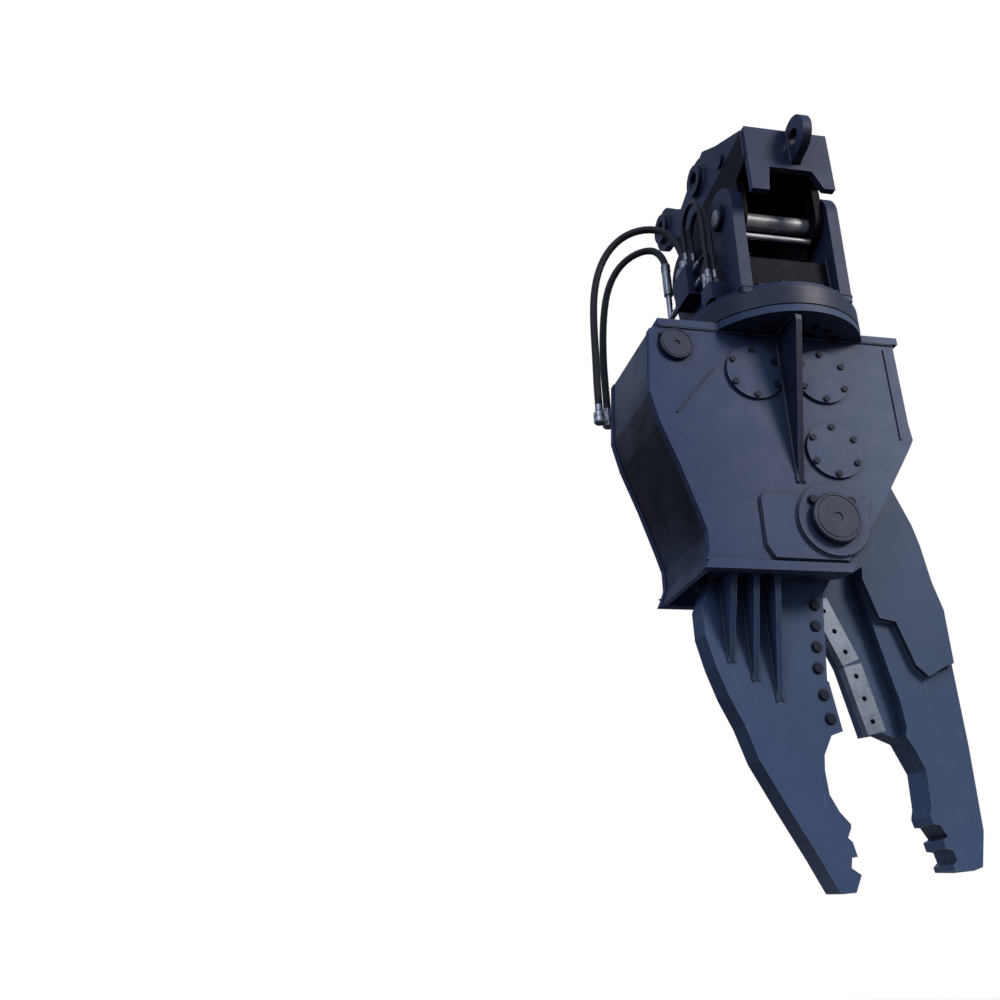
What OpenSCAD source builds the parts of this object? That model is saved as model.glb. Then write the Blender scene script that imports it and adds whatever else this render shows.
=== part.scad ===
// Car dismantling shear: a pin-on hanger, a slewing ring, a casing with one big
// cylinder, a fixed jaw and a moving jaw.
// Lengths are in millimetres. The slewing axis is vertical and +Z points up. X runs along
// the hanger's pins and Y from the front plate to the back. Sizes are worked out from the
// slewing axis at the casing's top, and every node is then moved so that the origin lies
// in the middle of the stick pin's bore.

/* [Casing] */
// Width of the casing between its widest points
casing_w = 1080; // [1040:5:1120]
// Height of the front plate below the top plate
casing_h = 1017; // [1000:1:1040]
// Depth over the front and back plates
casing_d = 500; // [480:5:520]
// Distance from the slewing axis to the front plate's outer face
casing_front = 172; // [165:1:180]
// Thickness of the front and back plates
plate_t = 35; // [30:1:36]
// Thickness of the side plates
side_t = 22; // [16:1:24]
// Thickness of the top plate
top_t = 31; // [25:1:34]
// Thickness of the gusset under the nose
gusset_t = 24; // [16:1:26]
// Radius of an inspection cover
cover_r = 118; // [108:1:119]
// Thickness of an inspection cover
cover_t = 12; // [8:1:20]

/* [Slewing ring] */
// Outer radius of the slewing ring
ring_r = 368; // [362:1:374]
// Height of the slewing ring
ring_h = 80; // [74:1:86]
// Module of the ring's inner teeth
gear_m = 8; // [8:0.05:8.1]
// Radius of a bearing ball
ball_r = 17; // [15:0.5:18]
// Shank radius of a ring bolt
ring_bolt_r = 10; // [8:0.5:12]
// Thickness of the hanger's round base plate
base_t = 28; // [24:1:34]

/* [Hanger] */
// Bore radius for the stick pin and the link pin
pin_bore_r = 40; // [35:0.5:45]
// Gap between the hitch plates, for the stick's end
stick_gap = 310; // [300:1:320]
// Distance between the stick pin and the link pin
pin_spacing = 430; // [420:1:440]
// Height of the stick pin above the casing's top
hanger_h = 985; // [975:1:1000]
// Thickness of a hitch plate
hitch_t = 35; // [30:1:38]
// Thickness of a bracket plate
bracket_t = 50; // [44:1:56]
// Radius of the two cross pins
cross_pin_r = 35; // [30:1:38]
// Thickness of the lifting eye
eye_t = 40; // [30:1:50]
// Hole radius of the lifting eye
eye_hole_r = 35; // [30:1:40]

/* [Jaws] */
// Distance from the main pin to the jaw tips
jaw_len = 1310; // [1300:1:1320]
// Thickness of the moving jaw's blade plate
jaw_t = 105; // [100:1:108]
// Thickness of the fixed jaw's back plate
fixed_back_t = 80; // [74:1:90]
// Thickness of the fixed jaw's front plate
fixed_front_t = 50; // [44:1:56]
// Width of a shear blade
blade_w = 80; // [74:1:84]
// Thickness of a shear blade
blade_t = 40; // [34:1:44]
// Radius of the main pin
main_pin_r = 70; // [64:1:74]
// Outer radius of the moving jaw's hub
hub_r = 148; // [144:1:150]
// Thickness of a jaw rib
rib_t = 22; // [16:1:26]

/* [Cylinder] */
// Outer radius of the cylinder's barrel
barrel_r = 95; // [90:1:96]
// Bore radius of the barrel
bore_r = 75; // [70:1:78]
// Radius of the piston rod
rod_r = 50; // [44:1:54]
// Radius of the pins at the cylinder's ends
rod_pin_r = 42; // [38:1:44]

/* [Hoses] */
// Outer radius of a supply hose
hose_r = 17; // [15:0.5:18]
// Outer radius of a short hose
line_r = 10; // [9:0.5:12]

/* [Hidden] */

$fn = 64;
over = 2;
seat = 0.3;
running = 0.05;

// Levels above the casing's top
race_gap = 5;
base_z = ring_h + race_gap;
deck_z = base_z + base_t;

// Places across the casing, and the two plate faces
casing_back = casing_d - casing_front;
front_in = -casing_front + plate_t;
back_in = casing_back - plate_t;

// Outline of the front and back plates: shares of the width and of the height
left_shares = [
    [-0.564, -0.016], [-0.585, -0.291], [-0.558, -0.417], [-0.500, -0.591],
    [-0.446, -0.777], [-0.426, -0.854], [-0.427, -0.931], [-0.453, -1.000]
];
right_shares = [
    [0.091, -1.000], [0.190, -0.825], [0.306, -0.646], [0.411, -0.477],
    [0.436, -0.432], [0.430, -0.366], [0.430, 0.000]
];
top_left_share = -0.530;
function casing_pt(s) = [s[0] * casing_w, s[1] * casing_h - top_t];
left_pts = [for (s = left_shares) casing_pt(s)];
right_pts = [for (s = right_shares) casing_pt(s)];
casing_pts = concat([casing_pt([top_left_share, 0])], left_pts, right_pts);

// Pins of the casing: the main pin and the cylinder's upper pin
pivot_shares = [0.0426, -0.800];
pivot = casing_pt(pivot_shares);
cyl_shares = [-0.4667, -0.0826];
cyl_top = casing_pt(cyl_shares);

// Places through the depth of the jaws
jaw_front = -10;
jaw_back = jaw_front + jaw_t;
blade_gap = 0.4;
face_gap = 5;
fixed_face = jaw_back + face_gap;
fixed_back = fixed_face + fixed_back_t;
fixed_front = fixed_face - fixed_front_t;
doubler_t = 30;
cyl_y = (jaw_front + jaw_back) / 2;

// Moving jaw: outline shares of the jaw's length, from the main pin
moving_shares = [
    [0.094, -0.062], [0.008, -0.179], [-0.020, -0.437], [-0.015, -0.442], [0.004, -0.581],
    [-0.032, -0.591], [-0.063, -0.646], [-0.069, -0.687], [-0.066, -0.753], [-0.044, -0.798],
    [-0.016, -0.831], [-0.018, -0.842], [-0.031, -0.866], [-0.019, -0.877], [-0.011, -0.915],
    [-0.028, -0.917], [-0.034, -0.943], [-0.008, -0.961], [-0.031, -1.005], [-0.077, -1.004],
    [-0.122, -0.915], [-0.189, -0.792], [-0.258, -0.660], [-0.289, -0.564], [-0.326, -0.482],
    [-0.354, -0.398], [-0.375, -0.309], [-0.375, -0.225], [-0.348, -0.172], [-0.340, -0.126],
    [-0.207, -0.065], [-0.188, -0.019], [-0.081, 0.078]
];
cheek_shares = [
    [0.020, -0.105], [-0.112, -0.144], [-0.340, -0.144], [-0.350, -0.118], [-0.355, -0.070],
    [-0.300, 0.000], [-0.060, 0.090]
];
// The two blade lines on each jaw: the first and last point of each
moving_lines = [
    [[-0.021, -0.183], [-0.047, -0.434], 4],
    [[-0.043, -0.445], [-0.024, -0.581], 2]
];
fixed_lines = [
    [[0.039, -0.173], [0.114, -0.361], 3],
    [[0.117, -0.370], [0.160, -0.570], 3]
];
// Fixed jaw: the tip and the outer edge are shared by its back and front plates
tip_shares = [
    [0.272, -0.681], [0.268, -0.780], [0.259, -0.808], [0.264, -0.831], [0.283, -0.832],
    [0.302, -0.864], [0.284, -0.872], [0.289, -0.897], [0.310, -0.900], [0.317, -0.927],
    [0.302, -0.940], [0.305, -0.954], [0.362, -0.956], [0.392, -0.947], [0.417, -0.851],
    [0.424, -0.615], [0.423, -0.359], [0.426, -0.209], [0.404, -0.123], [0.388, -0.002],
    [0.373, 0.064], [0.334, 0.199]
];
back_inner_shares = [
    [0.129, 0.140], [0.121, 0.000], [0.106, -0.062], [0.062, -0.108], [0.013, -0.149],
    [0.013, -0.184], [0.088, -0.372], [0.089, -0.376], [0.132, -0.576], [0.175, -0.569],
    [0.234, -0.594]
];
front_inner_shares = [
    [0.165, 0.000], [0.160, -0.121], [0.192, -0.302], [0.220, -0.444], [0.229, -0.481],
    [0.236, -0.560], [0.228, -0.584], [0.248, -0.622]
];
doubler_shares = [
    [0.186, 0.180], [0.175, 0.000], [0.162, -0.119], [0.196, -0.240], [0.248, -0.250],
    [0.289, -0.382], [0.324, -0.415], [0.381, -0.385], [0.415, -0.374], [0.417, -0.210],
    [0.395, -0.123], [0.379, -0.002], [0.364, 0.064], [0.327, 0.180]
];
function jaw_pt(s) = pivot + jaw_len * s;
function jaw_pts(shares) = [for (s = shares) jaw_pt(s)];

// Lever: where the rod's pin sits, the cylinder's length and its lean at rest
lever_share = [-0.287, -0.065];
rod_end = jaw_pt(lever_share);
rod_vec = rod_end - cyl_top;
cyl_len = norm(rod_vec);
cyl_lean = atan2(rod_vec[0], -rod_vec[1]);
lever_r = 88;
rod_slack = 8;
cheek_t = 50;
cheek_gap = 52;

// Hanger: the levels and places of its pins
link_y = 80;
link_drop = 50;
plate_gap = 2;
stick_y = link_y + pin_spacing;
hitch_x = stick_gap / 2;
bracket_x = hitch_x + hitch_t + plate_gap;
front_pin_y = -175;
rear_pin_y = front_pin_y + pin_spacing;
cross_pin_up = 413;
cross_pin_z = deck_z + cross_pin_up;
ear_r = 125;

// Slewing gear: teeth, and the pinion's place
gear_teeth = 60;
pinion_teeth = 13;
gear_pitch_r = gear_m * gear_teeth / 2;
pinion_pitch_r = gear_m * pinion_teeth / 2;
pinion_y = gear_pitch_r - pinion_pitch_r;

// Moves every node so that the stick pin's bore is the origin
module placed() {
    translate([0, -stick_y, -hanger_h]) children();
}

// A plate lying in the XZ plane, from y0 to y0 + t
module plate_xz(pts, y0, t) {
    translate([0, y0 + t, 0]) rotate([90, 0, 0]) linear_extrude(t) polygon(pts);
}

// A plate lying in the YZ plane, from x0 to x0 + t
module plate_yz(pts, x0, t) {
    translate([x0, 0, 0]) rotate([90, 0, 90]) linear_extrude(t) polygon(pts);
}

// A round bar along Y, at a point of the XZ plane
module bar_y(p, r, y0, len) {
    translate([p[0], y0 + len, p[1]]) rotate([90, 0, 0]) cylinder(r = r, h = len);
}

// A round bar along X, at a point of the YZ plane
module bar_x(p, r, x0, len) {
    translate([x0, p[0], p[1]]) rotate([0, 90, 0]) cylinder(r = r, h = len);
}

module mirror_pair() {
    children();
    mirror([1, 0, 0]) children();
}

// Involute tooth outline of a gear, as a list of points
function involute(rb, r) = let (t = sqrt(max(0, pow(r / rb, 2) - 1)) * 180 / PI) t - atan(t * PI / 180);
function flank(rb, r_from, r_to, half, side) = [
    for (i = [0 : flank_steps])
        let (r = r_from + (r_to - r_from) * i / flank_steps, a = side * (half - involute(rb, max(r, rb))))
            [r, a]
];
flank_steps = 4;
pressure = 20;
function gear_pts(teeth, m, r_root, r_tip, slack_deg) =
    let (
        pitch_r = m * teeth / 2,
        rb = pitch_r * cos(pressure),
        half = 90 / teeth + involute(rb, pitch_r) + slack_deg,
        r_low = max(rb, r_root)
    ) [
        for (k = [0 : teeth - 1])
            let (
                up = flank(rb, r_low, r_tip, half, -1),
                down = flank(rb, r_tip, r_low, half, 1)
            )
                for (p = concat([[r_root, -half]], up, down, [[r_root, half]]))
                    [p[0] * cos(p[1] + 360 * k / teeth), p[0] * sin(p[1] + 360 * k / teeth)]
    ];

// A tube swept along a list of points
tube_sides = 10;
function unit(v) = v / norm(v);
function tangent(path, i) = unit(path[min(i + 1, len(path) - 1)] - path[max(i - 1, 0)]);
function ring_pts(path, i, r, ref) =
    let (t = tangent(path, i), n = unit(cross(ref, t)), b = cross(t, n))
        [for (k = [0 : tube_sides - 1]) let (a = 360 * k / tube_sides) path[i] + r * (cos(a) * n + sin(a) * b)];
module tube(path, r, ref) {
    last = len(path) - 1;
    pts = [for (i = [0 : last]) each ring_pts(path, i, r, ref)];
    sides = [
        for (i = [0 : last - 1], k = [0 : tube_sides - 1])
            let (a = i * tube_sides + k, b = i * tube_sides + (k + 1) % tube_sides)
                each [[a, a + tube_sides, b], [b, a + tube_sides, b + tube_sides]]
    ];
    ends = [
        for (k = [1 : tube_sides - 2])
            each [[0, k, k + 1], [last * tube_sides, last * tube_sides + k + 1, last * tube_sides + k]]
    ];
    polyhedron(pts, concat(sides, ends));
}

// A smooth path through the points of a route
route_steps = 3;
function blend(a, b, c, d, t) =
    let (u = 1 - t)
        (pow(u, 3) * a + (3 * pow(t, 3) - 6 * t * t + 4) * b + (3 * pow(u, 3) - 6 * u * u + 4) * c + pow(t, 3) * d) / 6;
function smooth(route) =
    let (n = len(route) - 1)
        concat(
            [route[0]],
            [for (i = [1 : n - 2], k = [0 : route_steps - 1])
                blend(route[i - 1], route[i], route[i + 1], route[i + 2], k / route_steps)],
            [route[n - 1], route[n]]
        );

// Hanger: the excavator's side, hung on the stick pin and the link pin
hitch_lift_shares = [
    [-0.370, 0.845], [-0.083, 0.812], [0.110, 0.797], [0.228, 0.800], [0.480, 0.880],
    [0.600, 0.930], [0.600, 1.030], [0.430, 1.060], [0.300, 0.960], [0.190, 1.000],
    [0.000, 1.055], [-0.130, 0.975], [-0.370, 0.855]
];
cross_plate_shares = [
    [-0.190, 0.852], [-0.190, 0.528], [-0.116, 0.528], [-0.100, 0.650], [0.094, 0.650],
    [0.137, 0.566], [0.190, 0.566], [0.190, 0.852]
];
function hang_pts(shares) = [for (s = shares) hanger_h * s];
boss_wall = 30;
head_wall = 66;
pin_boss_r = pin_bore_r + boss_wall;
pin_head_r = pin_bore_r + head_wall;
hanger_pins = [[link_y, hanger_h - link_drop], [stick_y, hanger_h]];
boss_t = 25;
cross_t = 30;
cross_back = -365;
floor_t = 20;
floor_z = 800;
floor_front = -340;
floor_back = 150;
apron_low = 600;
hook_r = 95;
hook_arch = 540;
hook_shares = [[-0.274, 0.665], [-0.370, 0.700], [-0.370, 0.850], [0.355, 0.850]];
eye_y = -440;
eye_z = 772;
eye_r = 88;
eye_x = 5;
eye_foot_z = 665;
small_boss_r = 32;
small_boss_share = [-0.160, 0.864];
small_boss_at = hanger_h * small_boss_share;
collar_wall = 22;
collar_r = cross_pin_r + collar_wall;
collar_t = 20;
stay_r = 12.5;
stay_y = -190;
stay_z = 440;
web_front = -230;
web_plate_t = 25;
bracket_front = -285;
bracket_rear = 290;
base_r = 352;
base_pad_r = 374;
base_hole_r = 95;
ring_bolt_count = 24;
upper_bolt_in = 36;
lower_bolt_in = 98;
upper_bolt_r = ring_r - upper_bolt_in;
lower_bolt_r = ring_r - lower_bolt_in;
bolt_head_share = 1.65;
bolt_height_share = 1.25;
bolt_head_r = bolt_head_share * ring_bolt_r;
bolt_head_h = bolt_height_share * ring_bolt_r;

module hitch_plates() {
    color("dimgray") placed() mirror_pair() difference() {
        union() {
            plate_yz(hang_pts(hitch_lift_shares), hitch_x, hitch_t);
            for (p = hanger_pins) {
                bar_x(p, pin_head_r, hitch_x, hitch_t);
                bar_x(p, pin_boss_r, hitch_x, hitch_t + boss_t);
            }
            bar_x(small_boss_at, small_boss_r, hitch_x, hitch_t + boss_t / 2);
        }
        for (p = hanger_pins) bar_x(p, pin_bore_r, hitch_x - over, hitch_t + boss_t + 2 * over);
    }
}

module hook_outline() {
    for (y = [front_pin_y, rear_pin_y]) translate([y, cross_pin_z]) circle(hook_r);
    polygon(concat(hang_pts(hook_shares), [
        [rear_pin_y + hook_r, cross_pin_z], [rear_pin_y, cross_pin_z], [rear_pin_y - hook_r, hook_arch],
        [front_pin_y + hook_r, hook_arch], [front_pin_y, cross_pin_z], [front_pin_y - hook_r, cross_pin_z]
    ]));
}

module hitch_hooks() {
    color("dimgray") placed() mirror_pair() translate([hitch_x, 0, 0]) rotate([90, 0, 90])
        linear_extrude(hitch_t) difference() {
            hook_outline();
            translate([0, -seat]) polygon(hang_pts(hitch_lift_shares));
            for (y = [front_pin_y, rear_pin_y]) translate([y, cross_pin_z]) circle(cross_pin_r + running);
        }
}

module hitch_cross_plate() {
    color("dimgray") placed() difference() {
        plate_xz(hang_pts(cross_plate_shares), cross_back - cross_t, cross_t);
        translate([eye_x - seat, cross_back - cross_t - over, eye_foot_z - seat])
            cube([eye_t + 2 * seat, cross_t + 2 * over, eye_z]);
    }
}

module hitch_floor() {
    wide = hitch_x - seat;
    color("dimgray") placed() {
        translate([-wide, floor_front, floor_z]) cube([2 * wide, floor_back - floor_front, floor_t]);
        translate([-wide, floor_back + seat, apron_low]) cube([2 * wide, floor_t, floor_z + floor_t - apron_low]);
    }
}

module lifting_eye() {
    foot_top = floor_z + floor_t + seat;
    color("dimgray") placed() translate([eye_x, 0, 0]) rotate([90, 0, 90]) linear_extrude(eye_t) difference() {
        union() {
            translate([eye_y, eye_z]) circle(eye_r);
            polygon([
                [eye_y, eye_z - eye_r], [cross_back, eye_foot_z], [cross_back, foot_top],
                [cross_back + eye_r, foot_top], [eye_y + eye_r * cos(45), eye_z + eye_r * sin(45)]
            ]);
        }
        translate([eye_y, eye_z]) circle(eye_hole_r);
    }
}

pin_end_x = bracket_x + bracket_t + seat + collar_t;
module cross_pins() {
    color("silver") placed() for (y = [front_pin_y, rear_pin_y])
        bar_x([y, cross_pin_z], cross_pin_r, -pin_end_x, 2 * pin_end_x);
}

module cross_pin_collars() {
    color("silver") placed() mirror_pair() for (y = [front_pin_y, rear_pin_y]) difference() {
        bar_x([y, cross_pin_z], collar_r, bracket_x + bracket_t + seat, collar_t);
        bar_x([y, cross_pin_z], cross_pin_r + running, bracket_x, bracket_t + collar_t + over);
    }
}

module bracket_plates() {
    color("dimgray") placed() mirror_pair() translate([bracket_x, 0, 0]) rotate([90, 0, 90])
        linear_extrude(bracket_t) difference() {
            union() {
                for (y = [front_pin_y, rear_pin_y]) translate([y, cross_pin_z]) circle(ear_r);
                polygon([
                    [bracket_front, deck_z + seat], [front_pin_y - ear_r, cross_pin_z],
                    [front_pin_y + ear_r / 2, cross_pin_z], [rear_pin_y - ear_r, cross_pin_z - ear_r],
                    [rear_pin_y, cross_pin_z], [rear_pin_y + ear_r, cross_pin_z], [bracket_rear, deck_z + seat]
                ]);
            }
            for (y = [front_pin_y, rear_pin_y]) translate([y, cross_pin_z]) circle(cross_pin_r + running);
        }
}

bracket_web_shares = [
    [-1, 0], [-1, 0.46], [1, 0.46], [1, 0], [0.8, 0], [0.6, 0.14], [0.2, 0.19], [-0.2, 0.19],
    [-0.6, 0.14], [-0.8, 0]
];
module bracket_web() {
    wide = bracket_x - seat;
    tall = cross_pin_z - deck_z;
    pts = [for (s = bracket_web_shares) [s[0] * wide, deck_z + seat + s[1] * tall]];
    color("dimgray") placed() plate_xz(pts, web_front, web_plate_t);
}

module stay_rod() {
    wide = hitch_x - seat;
    color("silver") placed() bar_x([stay_y, stay_z], stay_r, -wide, 2 * wide);
}

// Slewing drive and slewing ring
ball_count = 40;
ball_in = 66;
ball_at_r = ring_r - ball_in;
ball_z = ring_h / 2;
race_half = 2;
drive_hole_r = 64;
drive_flange_r = 88;
drive_flange_t = 20;
gearbox_r = 78;
gearbox_h = 190;
motor_side = 110;
motor_h = 100;
shaft_r = 30;
upper_angles = [for (k = [0 : ring_bolt_count - 1]) if (k % 6 != 3) 360 * k / ring_bolt_count];
lower_skip = [210, 255, 330];
lower_angles = [
    for (k = [0 : ring_bolt_count - 1])
        if (len(search(360 * k / ring_bolt_count, lower_skip)) == 0) 360 * k / ring_bolt_count
];

module base_plate() {
    color("dimgray") placed() translate([0, 0, base_z]) linear_extrude(base_t) difference() {
        union() {
            circle(base_r);
            intersection() {
                square([2 * (bracket_x + bracket_t), 2 * bracket_rear], center = true);
                circle(base_pad_r);
            }
        }
        circle(base_hole_r);
        translate([0, pinion_y]) circle(drive_hole_r);
        for (a = upper_angles) rotate(a) translate([upper_bolt_r, 0]) circle(ring_bolt_r + running);
    }
}

module ball_groove() {
    rotate_extrude($fn = 96) translate([ball_at_r, ball_z]) circle(ball_r + running, $fn = 48);
}

ring_bolt_depth = 52;
inner_low = 8;
root_share = 1.25;
gear_slack = 0.05;
module slew_ring_outer() {
    color("gray") placed() difference() {
        translate([0, 0, race_gap]) cylinder(r = ring_r, h = ring_h, $fn = 96);
        translate([0, 0, race_gap - over]) cylinder(r = ball_at_r + race_half, h = ring_h + 2 * over, $fn = 96);
        ball_groove();
        for (a = upper_angles) rotate(a) translate([upper_bolt_r, 0, base_z - ring_bolt_depth - over])
            cylinder(r = ring_bolt_r + running, h = ring_bolt_depth + 2 * over);
    }
}

module slew_ring_inner() {
    inner_h = ring_h - inner_low;
    root_r = gear_pitch_r + root_share * gear_m;
    slots = gear_pts(gear_teeth, gear_m, gear_pitch_r - gear_m / 2, root_r, gear_slack);
    color("gray") placed() difference() {
        translate([0, 0, seat]) cylinder(r = ball_at_r - race_half, h = inner_h, $fn = 96);
        translate([0, 0, -over]) linear_extrude(inner_h + 2 * over) polygon(slots);
        ball_groove();
        for (a = lower_angles) rotate(a) translate([lower_bolt_r, 0, -over])
            cylinder(r = ring_bolt_r + running, h = ring_bolt_depth + 2 * over);
    }
}

module slew_balls() {
    color("silver") placed() for (k = [0 : ball_count - 1]) rotate(360 * k / ball_count)
        translate([ball_at_r, 0, ball_z]) sphere(r = ball_r, $fn = 24);
}

module ring_bolts_upper() {
    color("gray") placed() for (a = upper_angles) rotate(a) translate([upper_bolt_r, 0, deck_z + seat]) {
        cylinder(r = bolt_head_r, h = bolt_head_h, $fn = 6);
        translate([0, 0, -base_t - ring_bolt_depth]) cylinder(r = ring_bolt_r, h = base_t + ring_bolt_depth);
    }
}

module ring_bolts_lower() {
    color("gray") placed() for (a = lower_angles) rotate(a) translate([lower_bolt_r, 0, -top_t - seat]) {
        translate([0, 0, -bolt_head_h]) cylinder(r = bolt_head_r, h = bolt_head_h, $fn = 6);
        cylinder(r = ring_bolt_r, h = top_t + ring_bolt_depth);
    }
}

pinion_z = 12;
pinion_h = 50;
pinion_slack = -0.25;
pinion_root_share = 1.2;
module slew_pinion() {
    root_r = pinion_pitch_r - pinion_root_share * gear_m;
    teeth = gear_pts(pinion_teeth, gear_m, root_r, pinion_pitch_r + gear_m, pinion_slack);
    color("silver") placed() translate([0, pinion_y, pinion_z]) difference() {
        linear_extrude(pinion_h) rotate(90) polygon(teeth);
        translate([0, 0, -over]) cylinder(r = shaft_r + running, h = pinion_h + 2 * over);
    }
}

module slew_motor() {
    color("dimgray") placed() translate([0, pinion_y, 0]) {
        translate([0, 0, deck_z + seat]) {
            cylinder(r = drive_flange_r, h = drive_flange_t);
            cylinder(r = gearbox_r, h = gearbox_h);
            translate([-motor_side / 2, -motor_side / 2, gearbox_h]) cube([motor_side, motor_side, motor_h]);
        }
        translate([0, 0, pinion_z + over]) cylinder(r = shaft_r, h = deck_z - pinion_z);
    }
}

spool_r = 60;
spool_low = -56;
spool_high = 235;
housing_r = 88;
housing_h = 150;
housing_flange_r = 104;
arm_w = 60;
arm_reach = 244;
top_hole_r = 225;
flange_gap = 1;
module swivel_housing() {
    color("dimgray") placed() difference() {
        translate([0, 0, deck_z + seat]) {
            difference() {
                cylinder(r = housing_flange_r, h = drive_flange_t / 2);
                translate([0, pinion_y, -over]) cylinder(r = drive_flange_r + flange_gap, h = drive_flange_t);
            }
            cylinder(r = housing_r, h = housing_h);
        }
        translate([0, 0, deck_z - over]) cylinder(r = spool_r + running, h = spool_high - deck_z + 2 * over);
    }
}

module swivel_spool() {
    color("gray") placed() {
        translate([0, 0, spool_low]) cylinder(r = spool_r, h = spool_high - spool_low);
        translate([-arm_reach, -arm_w / 2, spool_low])
            cube([2 * arm_reach, arm_w, -top_t - seat - spool_low]);
    }
}

// Valve block and junction block on the left bracket plate, and their hoses
block_w = 70;
block_y = 60;
block_len = 150;
block_z = 300;
block_h = 150;
block_x = -bracket_x - bracket_t - seat - block_w;
junction_w = 80;
junction_x = -bracket_x - bracket_t - seat - junction_w;
junction_y = -165;
junction_len = 85;
junction_z = 130;
junction_h = 80;
junction_x_shares = [0.18, 0.555];
junction_y_shares = [0.295, 0.705];
fitting_h = 34;
port_r = 6;
stub_r = port_r - seat;
nut_more = 3;
port_depth = 25;
front_port_shares = [0.22, 0.78];
top_port_x_shares = [0.26, 0.74];
top_port_y_share = 0.14;
supply_y_share = 0.56;
front_ports = [for (s = front_port_shares) [block_x + block_w / 2, block_y, block_z + s * block_h]];
top_port_y = block_y + top_port_y_share * block_len;
top_ports = [for (s = top_port_x_shares) [block_x + s * block_w, top_port_y, block_z + block_h]];
junction_ports = [for (s = junction_x_shares, t = junction_y_shares)
    [junction_x + s * junction_w, junction_y + t * junction_len, junction_z + junction_h]];
supply_port = [block_x + block_w / 2, block_y + supply_y_share * block_len, block_z + block_h];
elbow_x = -285;
elbow_y = 335;
elbow_z = 345;
elbow_at = [elbow_x, elbow_y, elbow_z];
elbow_r = 14;
sleeve_wall = 4;
sleeve_r = hose_r + sleeve_wall;
sleeve_from = 470;
sleeve_to = 600;

module up_port(p, r, len) {
    translate([p[0], p[1], p[2] - len]) cylinder(r = r, h = len + over);
}

module front_port(p, r, len) {
    translate([p[0], p[1] + len, p[2]]) rotate([90, 0, 0]) cylinder(r = r, h = len + over);
}

module valve_block() {
    color("dimgray") placed() {
        difference() {
            translate([block_x, block_y, block_z]) cube([block_w, block_len, block_h]);
            for (p = front_ports) front_port(p, port_r, port_depth);
            for (p = concat(top_ports, [supply_port])) up_port(p, port_r, port_depth);
        }
        difference() {
            translate([junction_x, junction_y, junction_z]) cube([junction_w, junction_len, junction_h]);
            for (p = junction_ports) up_port(p, port_r, port_depth);
        }
    }
}

module fitting(r) {
    translate([0, 0, seat]) cylinder(r = r, h = fitting_h, $fn = 6);
    translate([0, 0, over - port_depth]) cylinder(r = stub_r, h = port_depth);
}

module valve_fittings() {
    block_end = block_y + block_len + seat;
    color("silver") placed() {
        for (p = concat(top_ports, junction_ports)) translate(p) fitting(line_r + nut_more);
        translate(supply_port) fitting(hose_r + nut_more);
        for (p = front_ports) translate(p) rotate([90, 0, 0]) fitting(line_r + nut_more);
        bar_y([elbow_x, elbow_z], elbow_r, block_end, elbow_y - block_end);
        translate(elbow_at) sphere(r = elbow_r);
        translate(elbow_at) cylinder(r = elbow_r, h = sleeve_from - elbow_z + over);
        translate([elbow_x, elbow_y, sleeve_from]) cylinder(r = sleeve_r, h = sleeve_to - sleeve_from);
    }
}

// Routes of the hoses, in the slewing axis's frame
control_routes = [
    [
        [-277, 25, 333], [-277, 10, 333], [-277, -15, 333], [-290, -90, 345], [-308, -115, 310],
        [-308, -105, 275], [-308, -105, 260], [-308, -105, 245]
    ],
    [
        [-277, 25, 417], [-277, 10, 417], [-277, -15, 417], [-277, -100, 415], [-278, -107, 340],
        [-278, -105, 290], [-278, -105, 265], [-278, -105, 245]
    ],
    [
        [-294, 81, 485], [-294, 81, 505], [-294, 81, 545], [-300, 75, 660], [-306, -30, 710],
        [-308, -135, 650], [-308, -140, 500], [-308, -140, 360], [-308, -140, 290], [-308, -140, 245]
    ],
    [
        [-260, 81, 485], [-260, 81, 505], [-260, 81, 540], [-266, 78, 630], [-276, -30, 680],
        [-278, -138, 610], [-278, -140, 480], [-278, -140, 360], [-278, -140, 290], [-278, -140, 245]
    ]
];
supply_routes = [
    [
        [-285, 335, 600], [-285, 335, 620], [-285, 335, 660], [-300, 390, 770], [-365, 470, 800],
        [-450, 510, 740], [-520, 505, 600], [-565, 470, 420], [-595, 440, 190], [-600, 425, 20],
        [-600, 425, -40], [-600, 425, -100]
    ],
    [
        [-277, 144, 485], [-277, 144, 510], [-277, 144, 560], [-300, 180, 700], [-370, 250, 780],
        [-470, 320, 790], [-560, 370, 710], [-620, 390, 560], [-645, 385, 370], [-650, 375, 150],
        [-655, 375, 0], [-655, 375, -55], [-655, 375, -110]
    ]
];

module control_hoses() {
    color("black") placed() for (route = control_routes) tube(smooth(route), line_r, [1, 0, 0.3]);
}

module supply_hoses() {
    color("black") placed() for (route = supply_routes) tube(smooth(route), hose_r, [0, 1, 0]);
}

coupler_r = 27;
coupler_len = 90;
coupler_nut_share = 0.55;
tail_more = 1;
module hose_couplers() {
    color("silver") placed() for (route = supply_routes)
        translate(route[len(route) - 1] - [0, 0, coupler_len + seat]) {
            cylinder(r = coupler_r, h = coupler_len * coupler_nut_share);
            cylinder(r = hose_r + tail_more, h = coupler_len);
        }
}

// Casing: plates welded into a box under the slewing ring
nose_in = 2;
nose_r = ring_r - nose_in;
front_lip = 8;
right_lip = 20;
module top_plate() {
    left = top_left_share * casing_w;
    right = right_pts[len(right_pts) - 1][0] + right_lip;
    color("slategray") placed() translate([0, 0, -top_t]) linear_extrude(top_t) difference() {
        union() {
            translate([left, -casing_front - front_lip]) square([right - left, casing_d + 2 * front_lip]);
            intersection() {
                circle(nose_r);
                translate([-nose_r, -2 * nose_r]) square(2 * nose_r);
            }
        }
        circle(top_hole_r);
        for (a = lower_angles) rotate(a) translate([lower_bolt_r, 0]) circle(ring_bolt_r + running);
    }
}

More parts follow.
